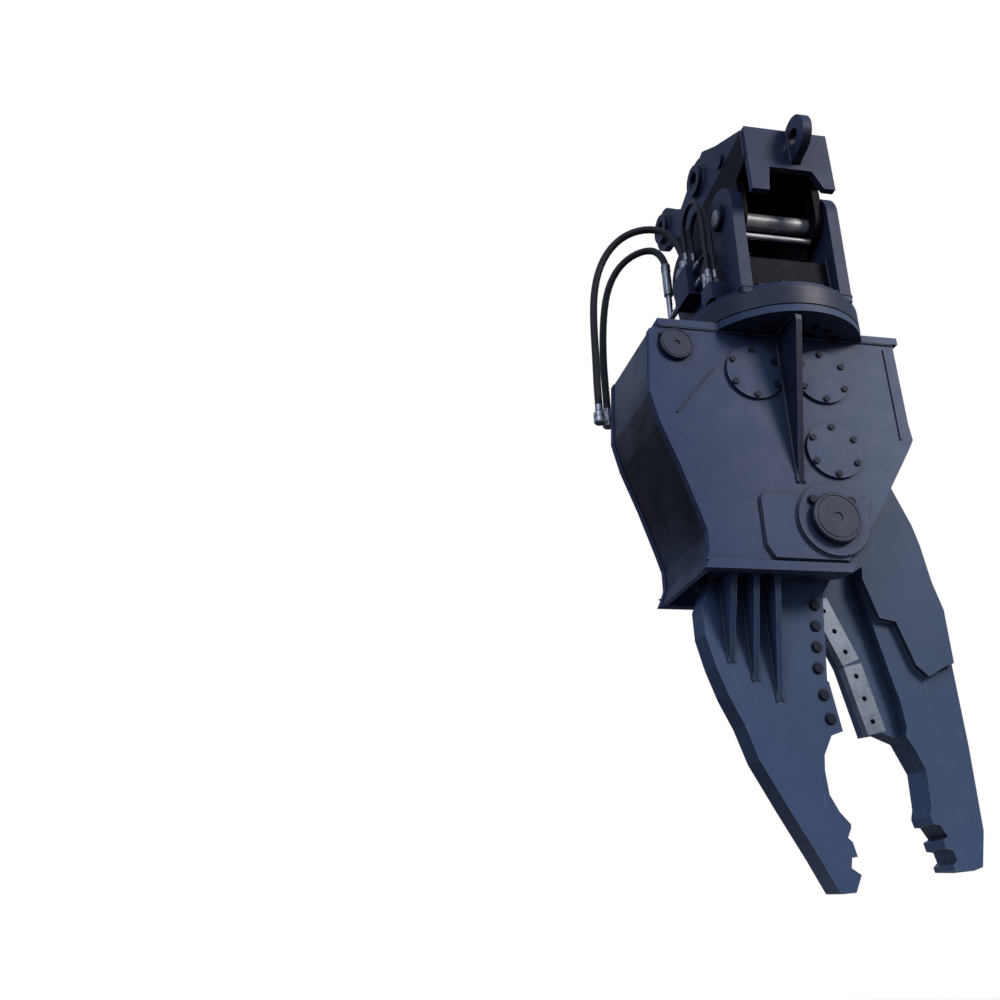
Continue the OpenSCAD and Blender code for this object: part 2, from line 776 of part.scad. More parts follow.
gusset_shares = [[0, 0], [0.481, 0], [0.481, -0.030], [0, -0.653]];
gusset_at = -52;
gusset_pts = [
    for (s = gusset_shares) [-casing_front - seat - s[0] * nose_r, -top_t - seat + s[1] * casing_h]
];
module nose_gusset() {
    color("slategray") placed() plate_yz(gusset_pts, gusset_at - gusset_t / 2, gusset_t);
}

// Inspection covers
cover_shares = [[-0.1713, -0.1819], [0.1019, -0.1809], [0.1009, -0.5035]];
cover_at = [for (s = cover_shares) casing_pt(s)];
cover_circle_share = 0.856;
cover_hole_share = 0.65;
cover_bolt_circle = cover_circle_share * cover_r;
cover_hole_r = cover_hole_share * cover_r;
head_share = 1.8;
cover_bolt_r = 7;
cover_bolt_depth = 22;
pin_bolt_r = 8;
function around(p, r, n, a0) = [for (k = [0 : n - 1]) p + r * [cos(a0 + 360 * k / n), sin(a0 + 360 * k / n)]];
cover_bolts_at = [for (c = cover_at) each around(c, cover_bolt_circle, 6, 90)];

// Main pin: a ring round it, a cap over it and a keeper bar that holds the cap
pin_ring_r = 145;
pin_ring_t = 14;
pin_cap_r = 100;
pin_cap_t = 45;
keeper_up = 67;
keeper_half = 76;
keeper_w = 36;
keeper_t = 14;
cyl_cap_r = 63;
cyl_cap_t = 22;
cyl_keeper_up = 34;
cyl_keeper_half = 46;
weld_gap = 1;
cheek_r = 200;
pivot_cheek_t = 60;

module main_plate(y0) {
    color("slategray") placed() difference() {
        plate_xz(casing_pts, y0, plate_t);
        bar_y(pivot, main_pin_r + running, y0 - over, plate_t + 2 * over);
        bar_y(cyl_top, rod_pin_r + running, y0 - over, plate_t + 2 * over);
        for (c = cover_at) bar_y(c, cover_hole_r, y0 - over, plate_t + 2 * over);
        for (p = cover_bolts_at) bar_y(p, cover_bolt_r + running, y0 - over, plate_t + 2 * over);
    }
}

module front_plate() {
    main_plate(-casing_front);
}

module back_plate() {
    main_plate(back_in);
}

side_in = 5;
side_depth = casing_d - 2 * plate_t - 2 * seat;
module left_side_plate() {
    top = [top_left_share * casing_w + side_in, -top_t - seat];
    outer = concat([top], [for (p = left_pts) p + [side_in, 0]]);
    inner = [for (i = [len(outer) - 1 : -1 : 0]) outer[i] + [side_t, 0]];
    color("slategray") placed() plate_xz(concat(outer, inner), front_in + seat, side_depth);
}

web_z = -605;
web_knee = 200;
web_left = -210;
web_end_x = 414;
web_end_z = -516;
web_plate = 22;
web_slope = (web_end_z - web_z) / (web_end_x - web_knee);
module right_side_plate() {
    outer = [for (i = [3 : len(right_pts) - 1]) right_pts[i] - [side_in, 0]];
    top = outer[len(outer) - 1];
    edge = concat([for (i = [0 : len(outer) - 2]) outer[i]], [[top[0], -top_t - seat]]);
    inner = [for (i = [len(edge) - 1 : -1 : 0]) edge[i] - [side_t, 0]];
    color("slategray") placed() plate_xz(concat(edge, inner), front_in + seat, side_depth);
}

upright_x = -318;
upright_low = -400;
module inner_webs() {
    upright_h = -top_t - seat - upright_low;
    color("slategray") placed() {
        plate_xz([
            [web_left, web_z], [web_left, web_z - web_plate], [web_knee, web_z - web_plate],
            [web_end_x, web_end_z - web_plate], [web_end_x, web_end_z], [web_knee, web_z]
        ], front_in + seat, side_depth);
        translate([upright_x, front_in + seat, upright_low]) cube([web_plate, side_depth, upright_h]);
    }
}

bar_h = 35;
bar_t = 12;
ridge_x = 413;
ridge_w = 8;
ridge_t = 6;
ridge_top = -58;
ridge_low = -473;
module edge_bars() {
    bottom = left_pts[len(left_pts) - 1];
    pts = [bottom, right_pts[0], right_pts[0] + [bar_h / 2, bar_h], bottom + [bar_h / 2, bar_h]];
    color("slategray") placed() {
        plate_xz(pts, -casing_front - seat - bar_t, bar_t);
        plate_xz(pts, casing_back + seat, bar_t);
        translate([ridge_x, -casing_front - seat - ridge_t, ridge_low])
            cube([ridge_w, ridge_t, ridge_top - ridge_low]);
    }
}

// The covers and bolts of one face; the back face is the front one turned about the casing's middle
module on_faces() {
    translate([0, -casing_front - seat, 0]) children();
    translate([0, casing_back + seat, 0]) mirror([0, 1, 0]) children();
}

module inspection_covers() {
    color("slategray") placed() on_faces() for (i = [0 : 2]) difference() {
        bar_y(cover_at[i], cover_r, -cover_t, cover_t);
        for (k = [0 : 5])
            bar_y(cover_bolts_at[6 * i + k], cover_bolt_r + running, -cover_t - over, cover_t + 2 * over);
    }
}

module cover_bolts() {
    color("gray") placed() on_faces() for (p = cover_bolts_at) {
        bar_y(p, cover_bolt_r, -cover_t - seat, cover_t + cover_bolt_depth);
        bar_y(p, head_share * cover_bolt_r, -cover_t - seat - cover_bolt_r, cover_bolt_r);
    }
}

doubler_pts_shares = [
    [-0.2046, -0.702], [0.2056, -0.702], [0.155, -0.860], [0.083, -0.955], [-0.1917, -0.952],
    [-0.2185, -0.903], [-0.2185, -0.720]
];
pivot_doubler_t = 14;
module pivot_doublers() {
    pts = [for (s = doubler_pts_shares) casing_pt(s)];
    color("slategray") placed() on_faces() difference() {
        plate_xz(pts, -pivot_doubler_t, pivot_doubler_t);
        bar_y(pivot, pin_ring_r + weld_gap, -pivot_doubler_t - over, pivot_doubler_t + 2 * over);
    }
}

module pivot_rings() {
    color("slategray") placed() on_faces() difference() {
        bar_y(pivot, pin_ring_r, -2 * pin_ring_t, 2 * pin_ring_t);
        bar_y(pivot, main_pin_r + running, -2 * pin_ring_t - over, 2 * pin_ring_t + 2 * over);
    }
}

module pivot_cheeks() {
    color("slategray") placed() for (y0 = [front_in + seat, back_in - seat - pivot_cheek_t]) difference() {
        bar_y(pivot, cheek_r, y0, pivot_cheek_t);
        bar_y(pivot, main_pin_r + running, y0 - over, pivot_cheek_t + 2 * over);
    }
}

main_pin_front = -casing_front - seat - 2 * pin_ring_t;
module main_pin() {
    main_pin_len = casing_d - 2 * (main_pin_front + casing_front);
    color("silver") placed() bar_y(pivot, main_pin_r, main_pin_front, main_pin_len);
}

module cap(p, r, t, up, half, y0) {
    difference() {
        bar_y(p, r, y0 - t, t);
        translate([p[0] - r - over, y0 - t - over, p[1] + up - keeper_w / 2 - weld_gap])
            cube([2 * r + 2 * over, t + 2 * over, r]);
    }
    translate([p[0] - half - keeper_w / 2, y0 - keeper_t, p[1] + up - keeper_w / 2])
        cube([2 * half + keeper_w, keeper_t, keeper_w]);
    for (side = [-1, 1]) translate([p[0] + side * half, y0 - keeper_t, p[1] + up]) rotate([90, 0, 0])
        cylinder(r = head_share * pin_bolt_r, h = pin_bolt_r, $fn = 6);
}

module pin_caps() {
    color("gray") placed() on_faces() {
        cap(pivot, pin_cap_r, pin_cap_t, keeper_up, keeper_half, -2 * pin_ring_t - seat);
        cap(cyl_top, cyl_cap_r, cyl_cap_t, cyl_keeper_up, cyl_keeper_half, 0);
    }
}

module cylinder_pin() {
    color("silver") placed() bar_y(cyl_top, rod_pin_r, -casing_front, casing_d);
}

cyl_boss_r = 58;
eye_w = 100;
eye_side = 2;
module cylinder_pin_bosses() {
    near = cyl_y - eye_w / 2 - eye_side;
    far = cyl_y + eye_w / 2 + eye_side;
    color("slategray") placed() difference() {
        union() {
            bar_y(cyl_top, cyl_boss_r, front_in + seat, near - front_in - seat);
            bar_y(cyl_top, cyl_boss_r, far, back_in - seat - far);
        }
        bar_y(cyl_top, rod_pin_r + running, front_in - over, casing_d);
    }
}

// Fixed jaw: two thick plates with the blades between them and the moving jaw
back_root_in = 15;
front_root_in = 62;
root_past = 22;
function web_under(x) = [x, web_z - web_plate - seat + web_slope * (x - web_knee) - weld_gap];
back_top = [web_under(web_knee + back_root_in), web_under(web_end_x + root_past)];
front_top = [web_under(web_knee + front_root_in), web_under(web_end_x + root_past)];
tip_pts = jaw_pts(tip_shares);
fixed_back_pts = concat([back_top[0]], jaw_pts(back_inner_shares), tip_pts, [back_top[1]]);
fixed_front_pts = concat([front_top[0]], jaw_pts(front_inner_shares), tip_pts, [front_top[1]]);
blade_bolt_r = 10;
blade_bolt_head = 17;
blade_room = 2;
function line_pts(l) = let (a = jaw_pt(l[0]), b = jaw_pt(l[1]))
    [for (k = [0 : l[2] - 1]) a + (b - a) * (k + 0.5) / l[2]];
function line_box(l, w, more = 0) =
    let (
        d = unit(l[1] - l[0]),
        a = jaw_pt(l[0]) - more * d,
        b = jaw_pt(l[1]) + more * d,
        n = [d[1], -d[0]] * w / 2
    ) [a + n, a - n, b - n, b + n];

module fixed_jaw_back() {
    color("slategray") placed() difference() {
        plate_xz(fixed_back_pts, fixed_face, fixed_back_t);
        for (l = fixed_lines) {
            plate_xz(line_box(l, blade_w + 2 * seat, seat), fixed_face - over, blade_t + seat + over);
            for (p = line_pts(l))
                bar_y(p, blade_bolt_r + running, fixed_face - over, fixed_back_t + 2 * over);
        }
    }
}

module fixed_jaw_front() {
    color("slategray") placed() difference() {
        plate_xz(fixed_front_pts, fixed_front - seat, fixed_front_t);
        for (l = fixed_lines)
            plate_xz(line_box(l, blade_w + 2 * blade_room), fixed_front - over, fixed_front_t + 2 * over);
    }
}

module fixed_jaw_doubler() {
    middle = [for (i = [1 : len(doubler_shares) - 2]) jaw_pt(doubler_shares[i])];
    color("slategray") placed()
        plate_xz(concat([front_top[0]], middle, [front_top[1]]), fixed_front - 2 * seat - doubler_t, doubler_t);
}

root_left = 285;
root_right = 420;
module jaw_root() {
    front_y = fixed_front - 3 * seat - doubler_t;
    back_y = fixed_back + seat;
    low = web_under(root_left);
    high = web_under(root_right);
    down = [0, weld_gap];
    pts = [low - down, [root_left, low[1] - web_plate], [root_right, high[1] - web_plate], high - down];
    color("slategray") placed() {
        plate_xz(pts, front_in + seat, front_y - front_in - seat);
        plate_xz(pts, back_y, back_in - seat - back_y);
    }
}

module fixed_blades() {
    color("silver") placed() for (l = fixed_lines) difference() {
        plate_xz(line_box(l, blade_w), fixed_face, blade_t);
        for (p = line_pts(l)) bar_y(p, blade_bolt_r + running, fixed_face - over, blade_t + 2 * over);
    }
}

module fixed_blade_bolts() {
    color("gray") placed() for (l = fixed_lines, p = line_pts(l)) {
        bar_y(p, blade_bolt_r, fixed_face + blade_bolt_r, fixed_back_t - blade_bolt_r + seat + over);
        bar_y(p, blade_bolt_head, fixed_back + seat, blade_bolt_r);
    }
}

// Moving jaw: one thick plate on a hub, with a lever of two cheeks for the rod
plate_pts = jaw_pts(moving_shares);
lever_room = 12;
lever_clear = lever_r + lever_room;
hub_seat = 1;
blade_face = fixed_face - blade_gap;
module moving_jaw_plate() {
    color("slategray") placed() difference() {
        union() {
            plate_xz(plate_pts, jaw_front, jaw_t);
            bar_y(pivot, hub_r, jaw_front, jaw_t);
        }
        bar_y(pivot, main_pin_r + running, jaw_front - over, jaw_t + 2 * over);
        bar_y(rod_end, lever_clear, jaw_front - over, jaw_t + 2 * over);
        for (l = moving_lines) {
            plate_xz(line_box(l, blade_w + 2 * seat, seat), blade_face - blade_t - seat, blade_t + seat + over);
            for (p = line_pts(l)) bar_y(p, blade_bolt_r + running, jaw_front - over, jaw_t + 2 * over);
        }
    }
}

module moving_jaw_hub() {
    front_y = front_in + seat + pivot_cheek_t + hub_seat;
    back_y = back_in - seat - pivot_cheek_t - hub_seat;
    color("slategray") placed() difference() {
        union() {
            bar_y(pivot, hub_r, front_y, jaw_front - seat - front_y);
            bar_y(pivot, hub_r, jaw_back + seat, back_y - jaw_back - seat);
        }
        bar_y(pivot, main_pin_r + running, front_y - over, casing_d);
    }
}

module lever_cheeks() {
    pts = jaw_pts(cheek_shares);
    near = cyl_y - jaw_t / 2 - seat - cheek_t;
    far = cyl_y + jaw_t / 2 + seat;
    color("slategray") placed() for (y0 = [near, far]) difference() {
        plate_xz(pts, y0, cheek_t);
        bar_y(pivot, hub_r + seat, y0 - over, cheek_t + 2 * over);
        bar_y(rod_end, rod_pin_r + running, y0 - over, cheek_t + 2 * over);
    }
}

// Ribs: where each stands and ends, and its depth profile, as shares of the jaw's length
rib_shares = [[-0.3053, -0.3942], [-0.2382, -0.4476], [-0.1733, -0.5056]];
rib_head_share = [0, -0.0461];
rib_shoulder_share = [0, -0.1263];
rib_full_share = [0, -0.1568];
rib_depth = 117;
rib_room = 2;
module rib(at) {
    near = cheek_t + 3 * seat;
    under = jaw_pt(cheek_shares[1])[1] - rib_room;
    plate_yz([
        [-near, jaw_pt(rib_head_share)[1]], [-rib_depth, jaw_pt(rib_shoulder_share)[1]],
        [-rib_depth, jaw_pt(rib_full_share)[1]], [-seat, at[1]], [-seat, under], [-near, under]
    ], at[0] - rib_t / 2, rib_t);
}

module jaw_ribs() {
    color("slategray") placed() for (s = rib_shares) {
        translate([0, jaw_front, 0]) rib(jaw_pt(s));
        translate([0, jaw_back, 0]) mirror([0, 1, 0]) rib(jaw_pt(s));
    }
}

module moving_blades() {
    color("silver") placed() for (l = moving_lines) difference() {
        plate_xz(line_box(l, blade_w), blade_face - blade_t, blade_t);
        for (p = line_pts(l))
            bar_y(p, blade_bolt_r + running, blade_face - blade_t - over, blade_t + 2 * over);
    }
}

module moving_blade_bolts() {
    color("gray") placed() for (l = moving_lines, p = line_pts(l)) {
        bar_y(p, blade_bolt_r, jaw_front - seat - over, jaw_t - blade_bolt_r);
        bar_y(p, blade_bolt_head, jaw_front - seat - blade_bolt_r, blade_bolt_r);
    }
}

// Cylinder: drawn hanging straight down from its upper pin, then leaned into place
module cylinder_place() {
    placed() translate([cyl_top[0], cyl_y, cyl_top[1]]) rotate([0, -cyl_lean, 0]) children();
}

top_eye_r = 76;
barrel_top = -72;
bore_top = -104;
barrel_end = -630;
gland_end = -672;
gland_r = barrel_r;
piston_h = 80;
piston_at = cyl_len - 590;
module barrel_round(r, from, to) {
    translate([0, 0, to]) cylinder(r = r, h = from - to);
}

module cylinder_barrel() {
    color("dimgray") cylinder_place() difference() {
        union() {
            barrel_round(barrel_r, barrel_top, barrel_end);
            translate([0, eye_w / 2, 0]) rotate([90, 0, 0]) cylinder(r = top_eye_r, h = eye_w);
        }
        barrel_round(bore_r, bore_top, barrel_end - over);
        translate([0, eye_w, 0]) rotate([90, 0, 0]) cylinder(r = rod_pin_r + running, h = 2 * eye_w);
    }
}

module cylinder_gland() {
    color("dimgray") cylinder_place() difference() {
        barrel_round(gland_r, barrel_end - seat, gland_end);
        barrel_round(rod_r + running, barrel_end + over, gland_end - over);
    }
}

pipe_r = 9;
pipe_foot_r = 17;
pipe_gap = 14;
pipe_low_in = 60;
pipe_high_in = 100;
module barrel_pipe() {
    low = barrel_end + pipe_low_in;
    high = barrel_top - pipe_high_in;
    color("dimgray") cylinder_place() {
        for (z = [low, high])
            translate([0, -barrel_r - seat, z]) rotate([90, 0, 0]) cylinder(r = pipe_foot_r, h = 2 * pipe_gap);
        translate([0, -barrel_r - pipe_gap, low]) cylinder(r = pipe_r, h = high - low);
    }
}

module piston() {
    color("silver") cylinder_place() difference() {
        barrel_round(bore_r - running, -piston_at + piston_h, -piston_at);
        barrel_round(rod_pin_r / 2 + seat, -piston_at + piston_h + over, -piston_at - over);
    }
}

rod_eye_w = 98;
pin_in = 1;
module piston_rod() {
    color("silver") cylinder_place() difference() {
        union() {
            barrel_round(rod_r, -piston_at - seat, -cyl_len + lever_r / 2);
            barrel_round(rod_pin_r / 2, -piston_at + piston_h, -piston_at - over);
            translate([0, rod_eye_w / 2, -cyl_len]) rotate([90, 0, 0]) cylinder(r = lever_r, h = rod_eye_w);
        }
        translate([0, rod_eye_w, -cyl_len]) rotate([90, 0, 0])
            cylinder(r = rod_pin_r + rod_slack, h = 2 * rod_eye_w);
    }
}

module rod_pin() {
    reach = jaw_t / 2 + seat + cheek_t - pin_in;
    color("silver") placed() bar_y(rod_end, rod_pin_r, cyl_y - reach, 2 * reach);
}

hitch_plates();
hitch_hooks();
hitch_cross_plate();
hitch_floor();
lifting_eye();
cross_pins();
cross_pin_collars();
bracket_plates();
bracket_web();
stay_rod();
base_plate();
slew_ring_outer();
ring_bolts_upper();
slew_motor();
swivel_housing();
valve_block();
valve_fittings();
control_hoses();
supply_hoses();
hose_couplers();
slew_pinion();
slew_ring_inner();
slew_balls();
ring_bolts_lower();
swivel_spool();
top_plate();
front_plate();
back_plate();
left_side_plate();
right_side_plate();
nose_gusset();
inner_webs();
edge_bars();
inspection_covers();
cover_bolts();
pivot_doublers();
pivot_rings();
pivot_cheeks();
main_pin();
pin_caps();
cylinder_pin();
cylinder_pin_bosses();
fixed_jaw_back();
fixed_jaw_front();
fixed_jaw_doubler();
jaw_root();
fixed_blades();
fixed_blade_bolts();
cylinder_barrel();
cylinder_gland();
barrel_pipe();
piston();
piston_rod();
rod_pin();
moving_jaw_plate();
moving_jaw_hub();
lever_cheeks();
jaw_ribs();
moving_blades();
moving_blade_bolts();
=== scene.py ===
import math

import bmesh
import bpy
from mathutils import Matrix, Vector


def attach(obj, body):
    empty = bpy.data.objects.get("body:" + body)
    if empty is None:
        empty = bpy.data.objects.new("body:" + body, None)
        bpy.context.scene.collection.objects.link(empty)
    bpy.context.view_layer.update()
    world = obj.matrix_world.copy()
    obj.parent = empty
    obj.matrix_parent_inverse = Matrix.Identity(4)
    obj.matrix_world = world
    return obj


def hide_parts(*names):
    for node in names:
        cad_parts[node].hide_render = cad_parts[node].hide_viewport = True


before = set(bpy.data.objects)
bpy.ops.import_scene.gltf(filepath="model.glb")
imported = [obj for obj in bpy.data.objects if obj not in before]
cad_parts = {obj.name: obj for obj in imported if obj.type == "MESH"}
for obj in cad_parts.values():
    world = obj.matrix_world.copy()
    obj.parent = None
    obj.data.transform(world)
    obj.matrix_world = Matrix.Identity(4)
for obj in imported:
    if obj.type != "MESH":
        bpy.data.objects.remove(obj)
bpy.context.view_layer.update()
print("frame loaded")

# Record frame: origin in the stick pin's bore; the slewing axis stands at this place
axisAt = Vector((0.0, -0.510, -0.985))


# A point given in millimetres from the slewing axis at the casing's top
def ringPoint(x, y, z):
    return axisAt + Vector((x, y, z)) / 1000


# Camera
camera = {
    "place": (-2.015, -4.086, -3.258),
    "right": (0.9777, -0.2068, -0.0359),
    "up": (-0.0472, -0.3833, 0.9224),
    "back": (-0.2045, -0.9002, -0.3845),
    "lens": 38.16,
    "sensor": 36,
    "farthest": 60,
}
cameraData = bpy.data.cameras.new("photoCamera")
cameraData.lens = camera["lens"]
cameraData.sensor_width = camera["sensor"]
cameraData.clip_end = camera["farthest"]
cameraObject = bpy.data.objects.new("photoCamera", cameraData)
turn = Matrix((camera["right"], camera["up"], camera["back"])).transposed().to_4x4()
cameraObject.matrix_world = Matrix.Translation(camera["place"]) @ turn
bpy.context.collection.objects.link(cameraObject)
bpy.context.scene.camera = cameraObject
print("camera placed")


# Materials: one helper turns hex to linear, one adds a node
def toLinear(hexColour):
    parts = [int(hexColour[i:i + 2], 16) / 255 for i in (1, 3, 5)]
    return tuple(c / 12.92 if c <= 0.04045 else ((c + 0.055) / 1.055) ** 2.4 for c in parts) + (1.0,)


def addNode(tree, kind, settings=None, links=None):
    node = tree.nodes.new(kind)
    for key, value in (settings or {}).items():
        if isinstance(key, int) or key in node.inputs:
            node.inputs[key].default_value = value
        else:
            setattr(node, key, value)
    for socket, source in (links or {}).items():
        tree.links.new(source, node.inputs[socket])
    return node


def newMaterial(name):
    material = bpy.data.materials.new(name)
    material.use_nodes = True
    tree = material.node_tree
    tree.nodes.clear()
    shader = addNode(tree, "ShaderNodeBsdfPrincipled")
    output = addNode(tree, "ShaderNodeOutputMaterial", {}, {"Surface": shader.outputs["BSDF"]})
    place = addNode(tree, "ShaderNodeTexCoord").outputs["Object"]
    return material, tree, shader, output, place


def colourRamp(tree, factor, stops):
    ramp = addNode(tree, "ShaderNodeValToRGB", {}, {"Fac": factor})
    while len(ramp.color_ramp.elements) < len(stops):
        ramp.color_ramp.elements.new(0.5)
    for element, (at, colour) in zip(ramp.color_ramp.elements, stops):
        element.position = at
        element.color = toLinear(colour) if isinstance(colour, str) else (colour, colour, colour, 1)
    return ramp.outputs["Color"]


def mixColour(tree, factor, first, second):
    mix = addNode(tree, "ShaderNodeMix", {"data_type": "RGBA", "blend_type": "MIX"})
    for index, value in ((0, factor), (6, first), (7, second)):
        if isinstance(value, (int, float)):
            mix.inputs[index].default_value = value
        elif isinstance(value, str):
            mix.inputs[index].default_value = toLinear(value)
        else:
            tree.links.new(value, mix.inputs[index])
    return mix.outputs[2]


def mathNode(tree, operation, first, second):
    node = addNode(tree, "ShaderNodeMath", {"operation": operation})
    for index, value in enumerate((first, second)):
        if isinstance(value, (int, float)):
            node.inputs[index].default_value = value
        else:
            tree.links.new(value, node.inputs[index])
    return node.outputs[0]


# Noise whose cells are about that many millimetres across
def noiseNode(tree, place, millimetres, detail=4.0, rough=0.55, stretch=None):
    if stretch:
        place = addNode(tree, "ShaderNodeMapping", {"Scale": stretch}, {"Vector": place}).outputs[0]
    settings = {"Scale": 1000.0 / millimetres, "Detail": detail, "Roughness": rough}
    return addNode(tree, "ShaderNodeTexNoise", settings, {"Vector": place}).outputs["Fac"]


# Near 1 along corners of the plate, 0 on its flats
def edgeMask(tree, radius):
    soft = addNode(tree, "ShaderNodeBevel", {"samples": 4, "Radius": radius}).outputs[0]
    flat = addNode(tree, "ShaderNodeNewGeometry").outputs["Normal"]
    product = {"operation": "DOT_PRODUCT"}
    same = addNode(tree, "ShaderNodeVectorMath", product, {0: soft, 1: flat}).outputs["Value"]
    return colourRamp(tree, same, [(0.70, 1.0), (0.985, 0.0)])


# Sizes in millimetres of what shows in the enamel
grain = {"broad": 420, "dust": 95, "scratch": 60, "speck": 14, "edge": 40, "peel": 9, "waviness": 160}
corner = {"rubbedWidth": 0.006, "hollowReach": 0.07}


# Two-pack machine enamel sprayed on hot-rolled plate: satin, faintly uneven, dusty, rubbed at its corners,
# with painted light making it lighter and greyer towards +X and painted shade in its hollows and on its
# downward faces
def machinePaint(name, paint):
    material, tree, shader, output, place = newMaterial(name)
    shader.inputs["Specular IOR Level"].default_value = paint.get("shine", 0.22)
    broad = noiseNode(tree, place, grain["broad"], 3)
    body = colourRamp(tree, broad, [(0.36, paint["shade"]), (0.64, paint["base"])])
    # Painted light: the enamel turns lighter and greyer towards +X, the side that the key lamp lights
    across = addNode(tree, "ShaderNodeSeparateXYZ", {}, {0: place}).outputs["X"]
    span = {"From Min": -0.55, "From Max": 0.45}   # metres across the casing
    lean = addNode(tree, "ShaderNodeMapRange", span, {"Value": across}).outputs[0]
    body = mixColour(tree, mathNode(tree, "MULTIPLY", lean, paint["lean"]), body, paint["grey"])
    dustField = noiseNode(tree, place, grain["dust"], 8, 0.68)
    dust = colourRamp(tree, dustField, [(0.50, 0.0), (0.78, 1.0)])
    body = mixColour(tree, mathNode(tree, "MULTIPLY", dust, paint["dust"]), body, paint["dustTint"])
    scratchField = noiseNode(tree, place, grain["scratch"], 6, 0.7, (7.0, 7.0, 0.6))
    scratches = colourRamp(tree, scratchField, [(0.645, 0.0), (0.69, 1.0)])
    body = mixColour(tree, mathNode(tree, "MULTIPLY", scratches, paint["scuff"]), body, paint["rubbed"])
    speck = colourRamp(tree, noiseNode(tree, place, grain["speck"], 2, 0.6), [(0.68, 0.0), (0.74, 1.0)])
    body = mixColour(tree, mathNode(tree, "MULTIPLY", speck, 0.35), body, "#1d2129")
    # Painted shade: near-black darkening in hollows and corners, found by ambient occlusion
    reach = {"samples": 4, "Distance": corner["hollowReach"]}
    hollow = addNode(tree, "ShaderNodeAmbientOcclusion", reach).outputs["AO"]
    hollowShade = colourRamp(tree, hollow, [(0.30, 1.0), (0.92, 0.0)])
    body = mixColour(tree, mathNode(tree, "MULTIPLY", hollowShade, paint["hollowShade"]), body, "#14161c")
    # Painted shade: faces that look downward are darkened towards near-black
    normal = addNode(tree, "ShaderNodeNewGeometry").outputs["Normal"]
    facing = addNode(tree, "ShaderNodeSeparateXYZ", {}, {0: normal}).outputs["Z"]
    downward = {"From Min": -0.05, "From Max": -0.55}
    undersideShade = addNode(tree, "ShaderNodeMapRange", downward, {"Value": facing}).outputs[0]
    body = mixColour(tree, mathNode(tree, "MULTIPLY", undersideShade, 0.75), body, "#0d0f15")
    patchy = colourRamp(tree, noiseNode(tree, place, grain["edge"], 5), [(0.36, 0.15), (0.62, 1.0)])
    wear = mathNode(tree, "MULTIPLY", edgeMask(tree, corner["rubbedWidth"]), patchy)
    body = mixColour(tree, mathNode(tree, "MULTIPLY", wear, paint["wear"]), body, paint["rubbed"])
    tree.links.new(body, shader.inputs["Base Color"])
    gloss = mathNode(tree, "MULTIPLY_ADD", dustField, 0.24)
    gloss.node.inputs[2].default_value = paint["rough"] - 0.10
    tree.links.new(gloss, shader.inputs["Roughness"])
    # Orange peel of a sprayed coat, drawn coarse so that it shows, over the plate's own slight waviness
    peel = noiseNode(tree, place, grain["peel"], 3)
    rolled = noiseNode(tree, place, grain["waviness"], 4)
    height = mathNode(tree, "ADD", mathNode(tree, "MULTIPLY", peel, 0.12), rolled)
    bump = addNode(tree, "ShaderNodeBump", {"Strength": 0.16, "Distance": 0.004}, {"Height": height})
    tree.links.new(bump.outputs[0], shader.inputs["Normal"])
    return material


casingPaint = machinePaint("blueGreyEnamelOnPlate", {
    "base": "#2f4068", "shade": "#27375f", "grey": "#5a6680", "lean": 0.85, "dust": 0.12,
    "dustTint": "#5c687e", "scuff": 0.22, "rubbed": "#76808f", "hollowShade": 0.80, "wear": 0.45,
    "rough": 0.52,
})
jawPaint = machinePaint("blueGreyEnamelOnJaw", {
    "base": "#405275", "shade": "#37496c", "grey": "#44546f", "lean": 0.6, "dust": 0.12,
    "dustTint": "#6f7d95", "scuff": 0.30, "rubbed": "#8893a5", "hollowShade": 0.80, "wear": 0.60,
    "rough": 0.50,
})
hangerPaint = machinePaint("darkGreyEnamelOnHanger", {
    "base": "#313f62", "shade": "#273452", "grey": "#39425c", "lean": 0.7, "dust": 0.14,
    "dustTint": "#5d6780", "scuff": 0.25, "rubbed": "#78829a", "hollowShade": 0.90, "wear": 0.50,
    "rough": 0.50,
})
# Painted shadow: near-black enamel for parts that sit in deep shade (hitch hooks, hitch floor, bracket web,
# guard plates)
shadowDarkPaint = machinePaint("enamelPaintedShadowInside", {
    "base": "#12151f", "shade": "#0d1018", "grey": "#141722", "lean": 0.5, "dust": 0.10,
    "dustTint": "#343a4a", "scuff": 0.15, "rubbed": "#4c5468", "hollowShade": 0.90, "wear": 0.35,
    "rough": 0.60, "shine": 0.12,
})
# Dark enamel of the slew ring, also given to the nose gusset as painted shade
ringAndGussetShadePaint = machinePaint("darkRingEnamelAndGussetShade", {
    "base": "#27304a", "shade": "#1f2740", "grey": "#2c3348", "lean": 0.5, "dust": 0.12,
    "dustTint": "#5c6680", "scuff": 0.35, "rubbed": "#78829a", "hollowShade": 0.85, "wear": 0.55,
    "rough": 0.44, "shine": 0.35,
})
boltPaint = machinePaint("paintedBoltHeads", {
    "base": "#1f2536", "shade": "#181d2b", "grey": "#202636", "lean": 0.5, "dust": 0.08,
    "dustTint": "#3d465a", "scuff": 0.1, "rubbed": "#3a4358", "hollowShade": 0.5, "wear": 0.12,
    "rough": 0.50, "shine": 0.15,
})
pinPaint = machinePaint("paintedPinCaps", {
    "base": "#26324c", "shade": "#1f2a43", "grey": "#2a354d", "lean": 0.5, "dust": 0.14,
    "dustTint": "#7480a0", "scuff": 0.3, "rubbed": "#7f8999", "hollowShade": 0.85, "wear": 0.65,
    "rough": 0.46,
})
print("paints made")
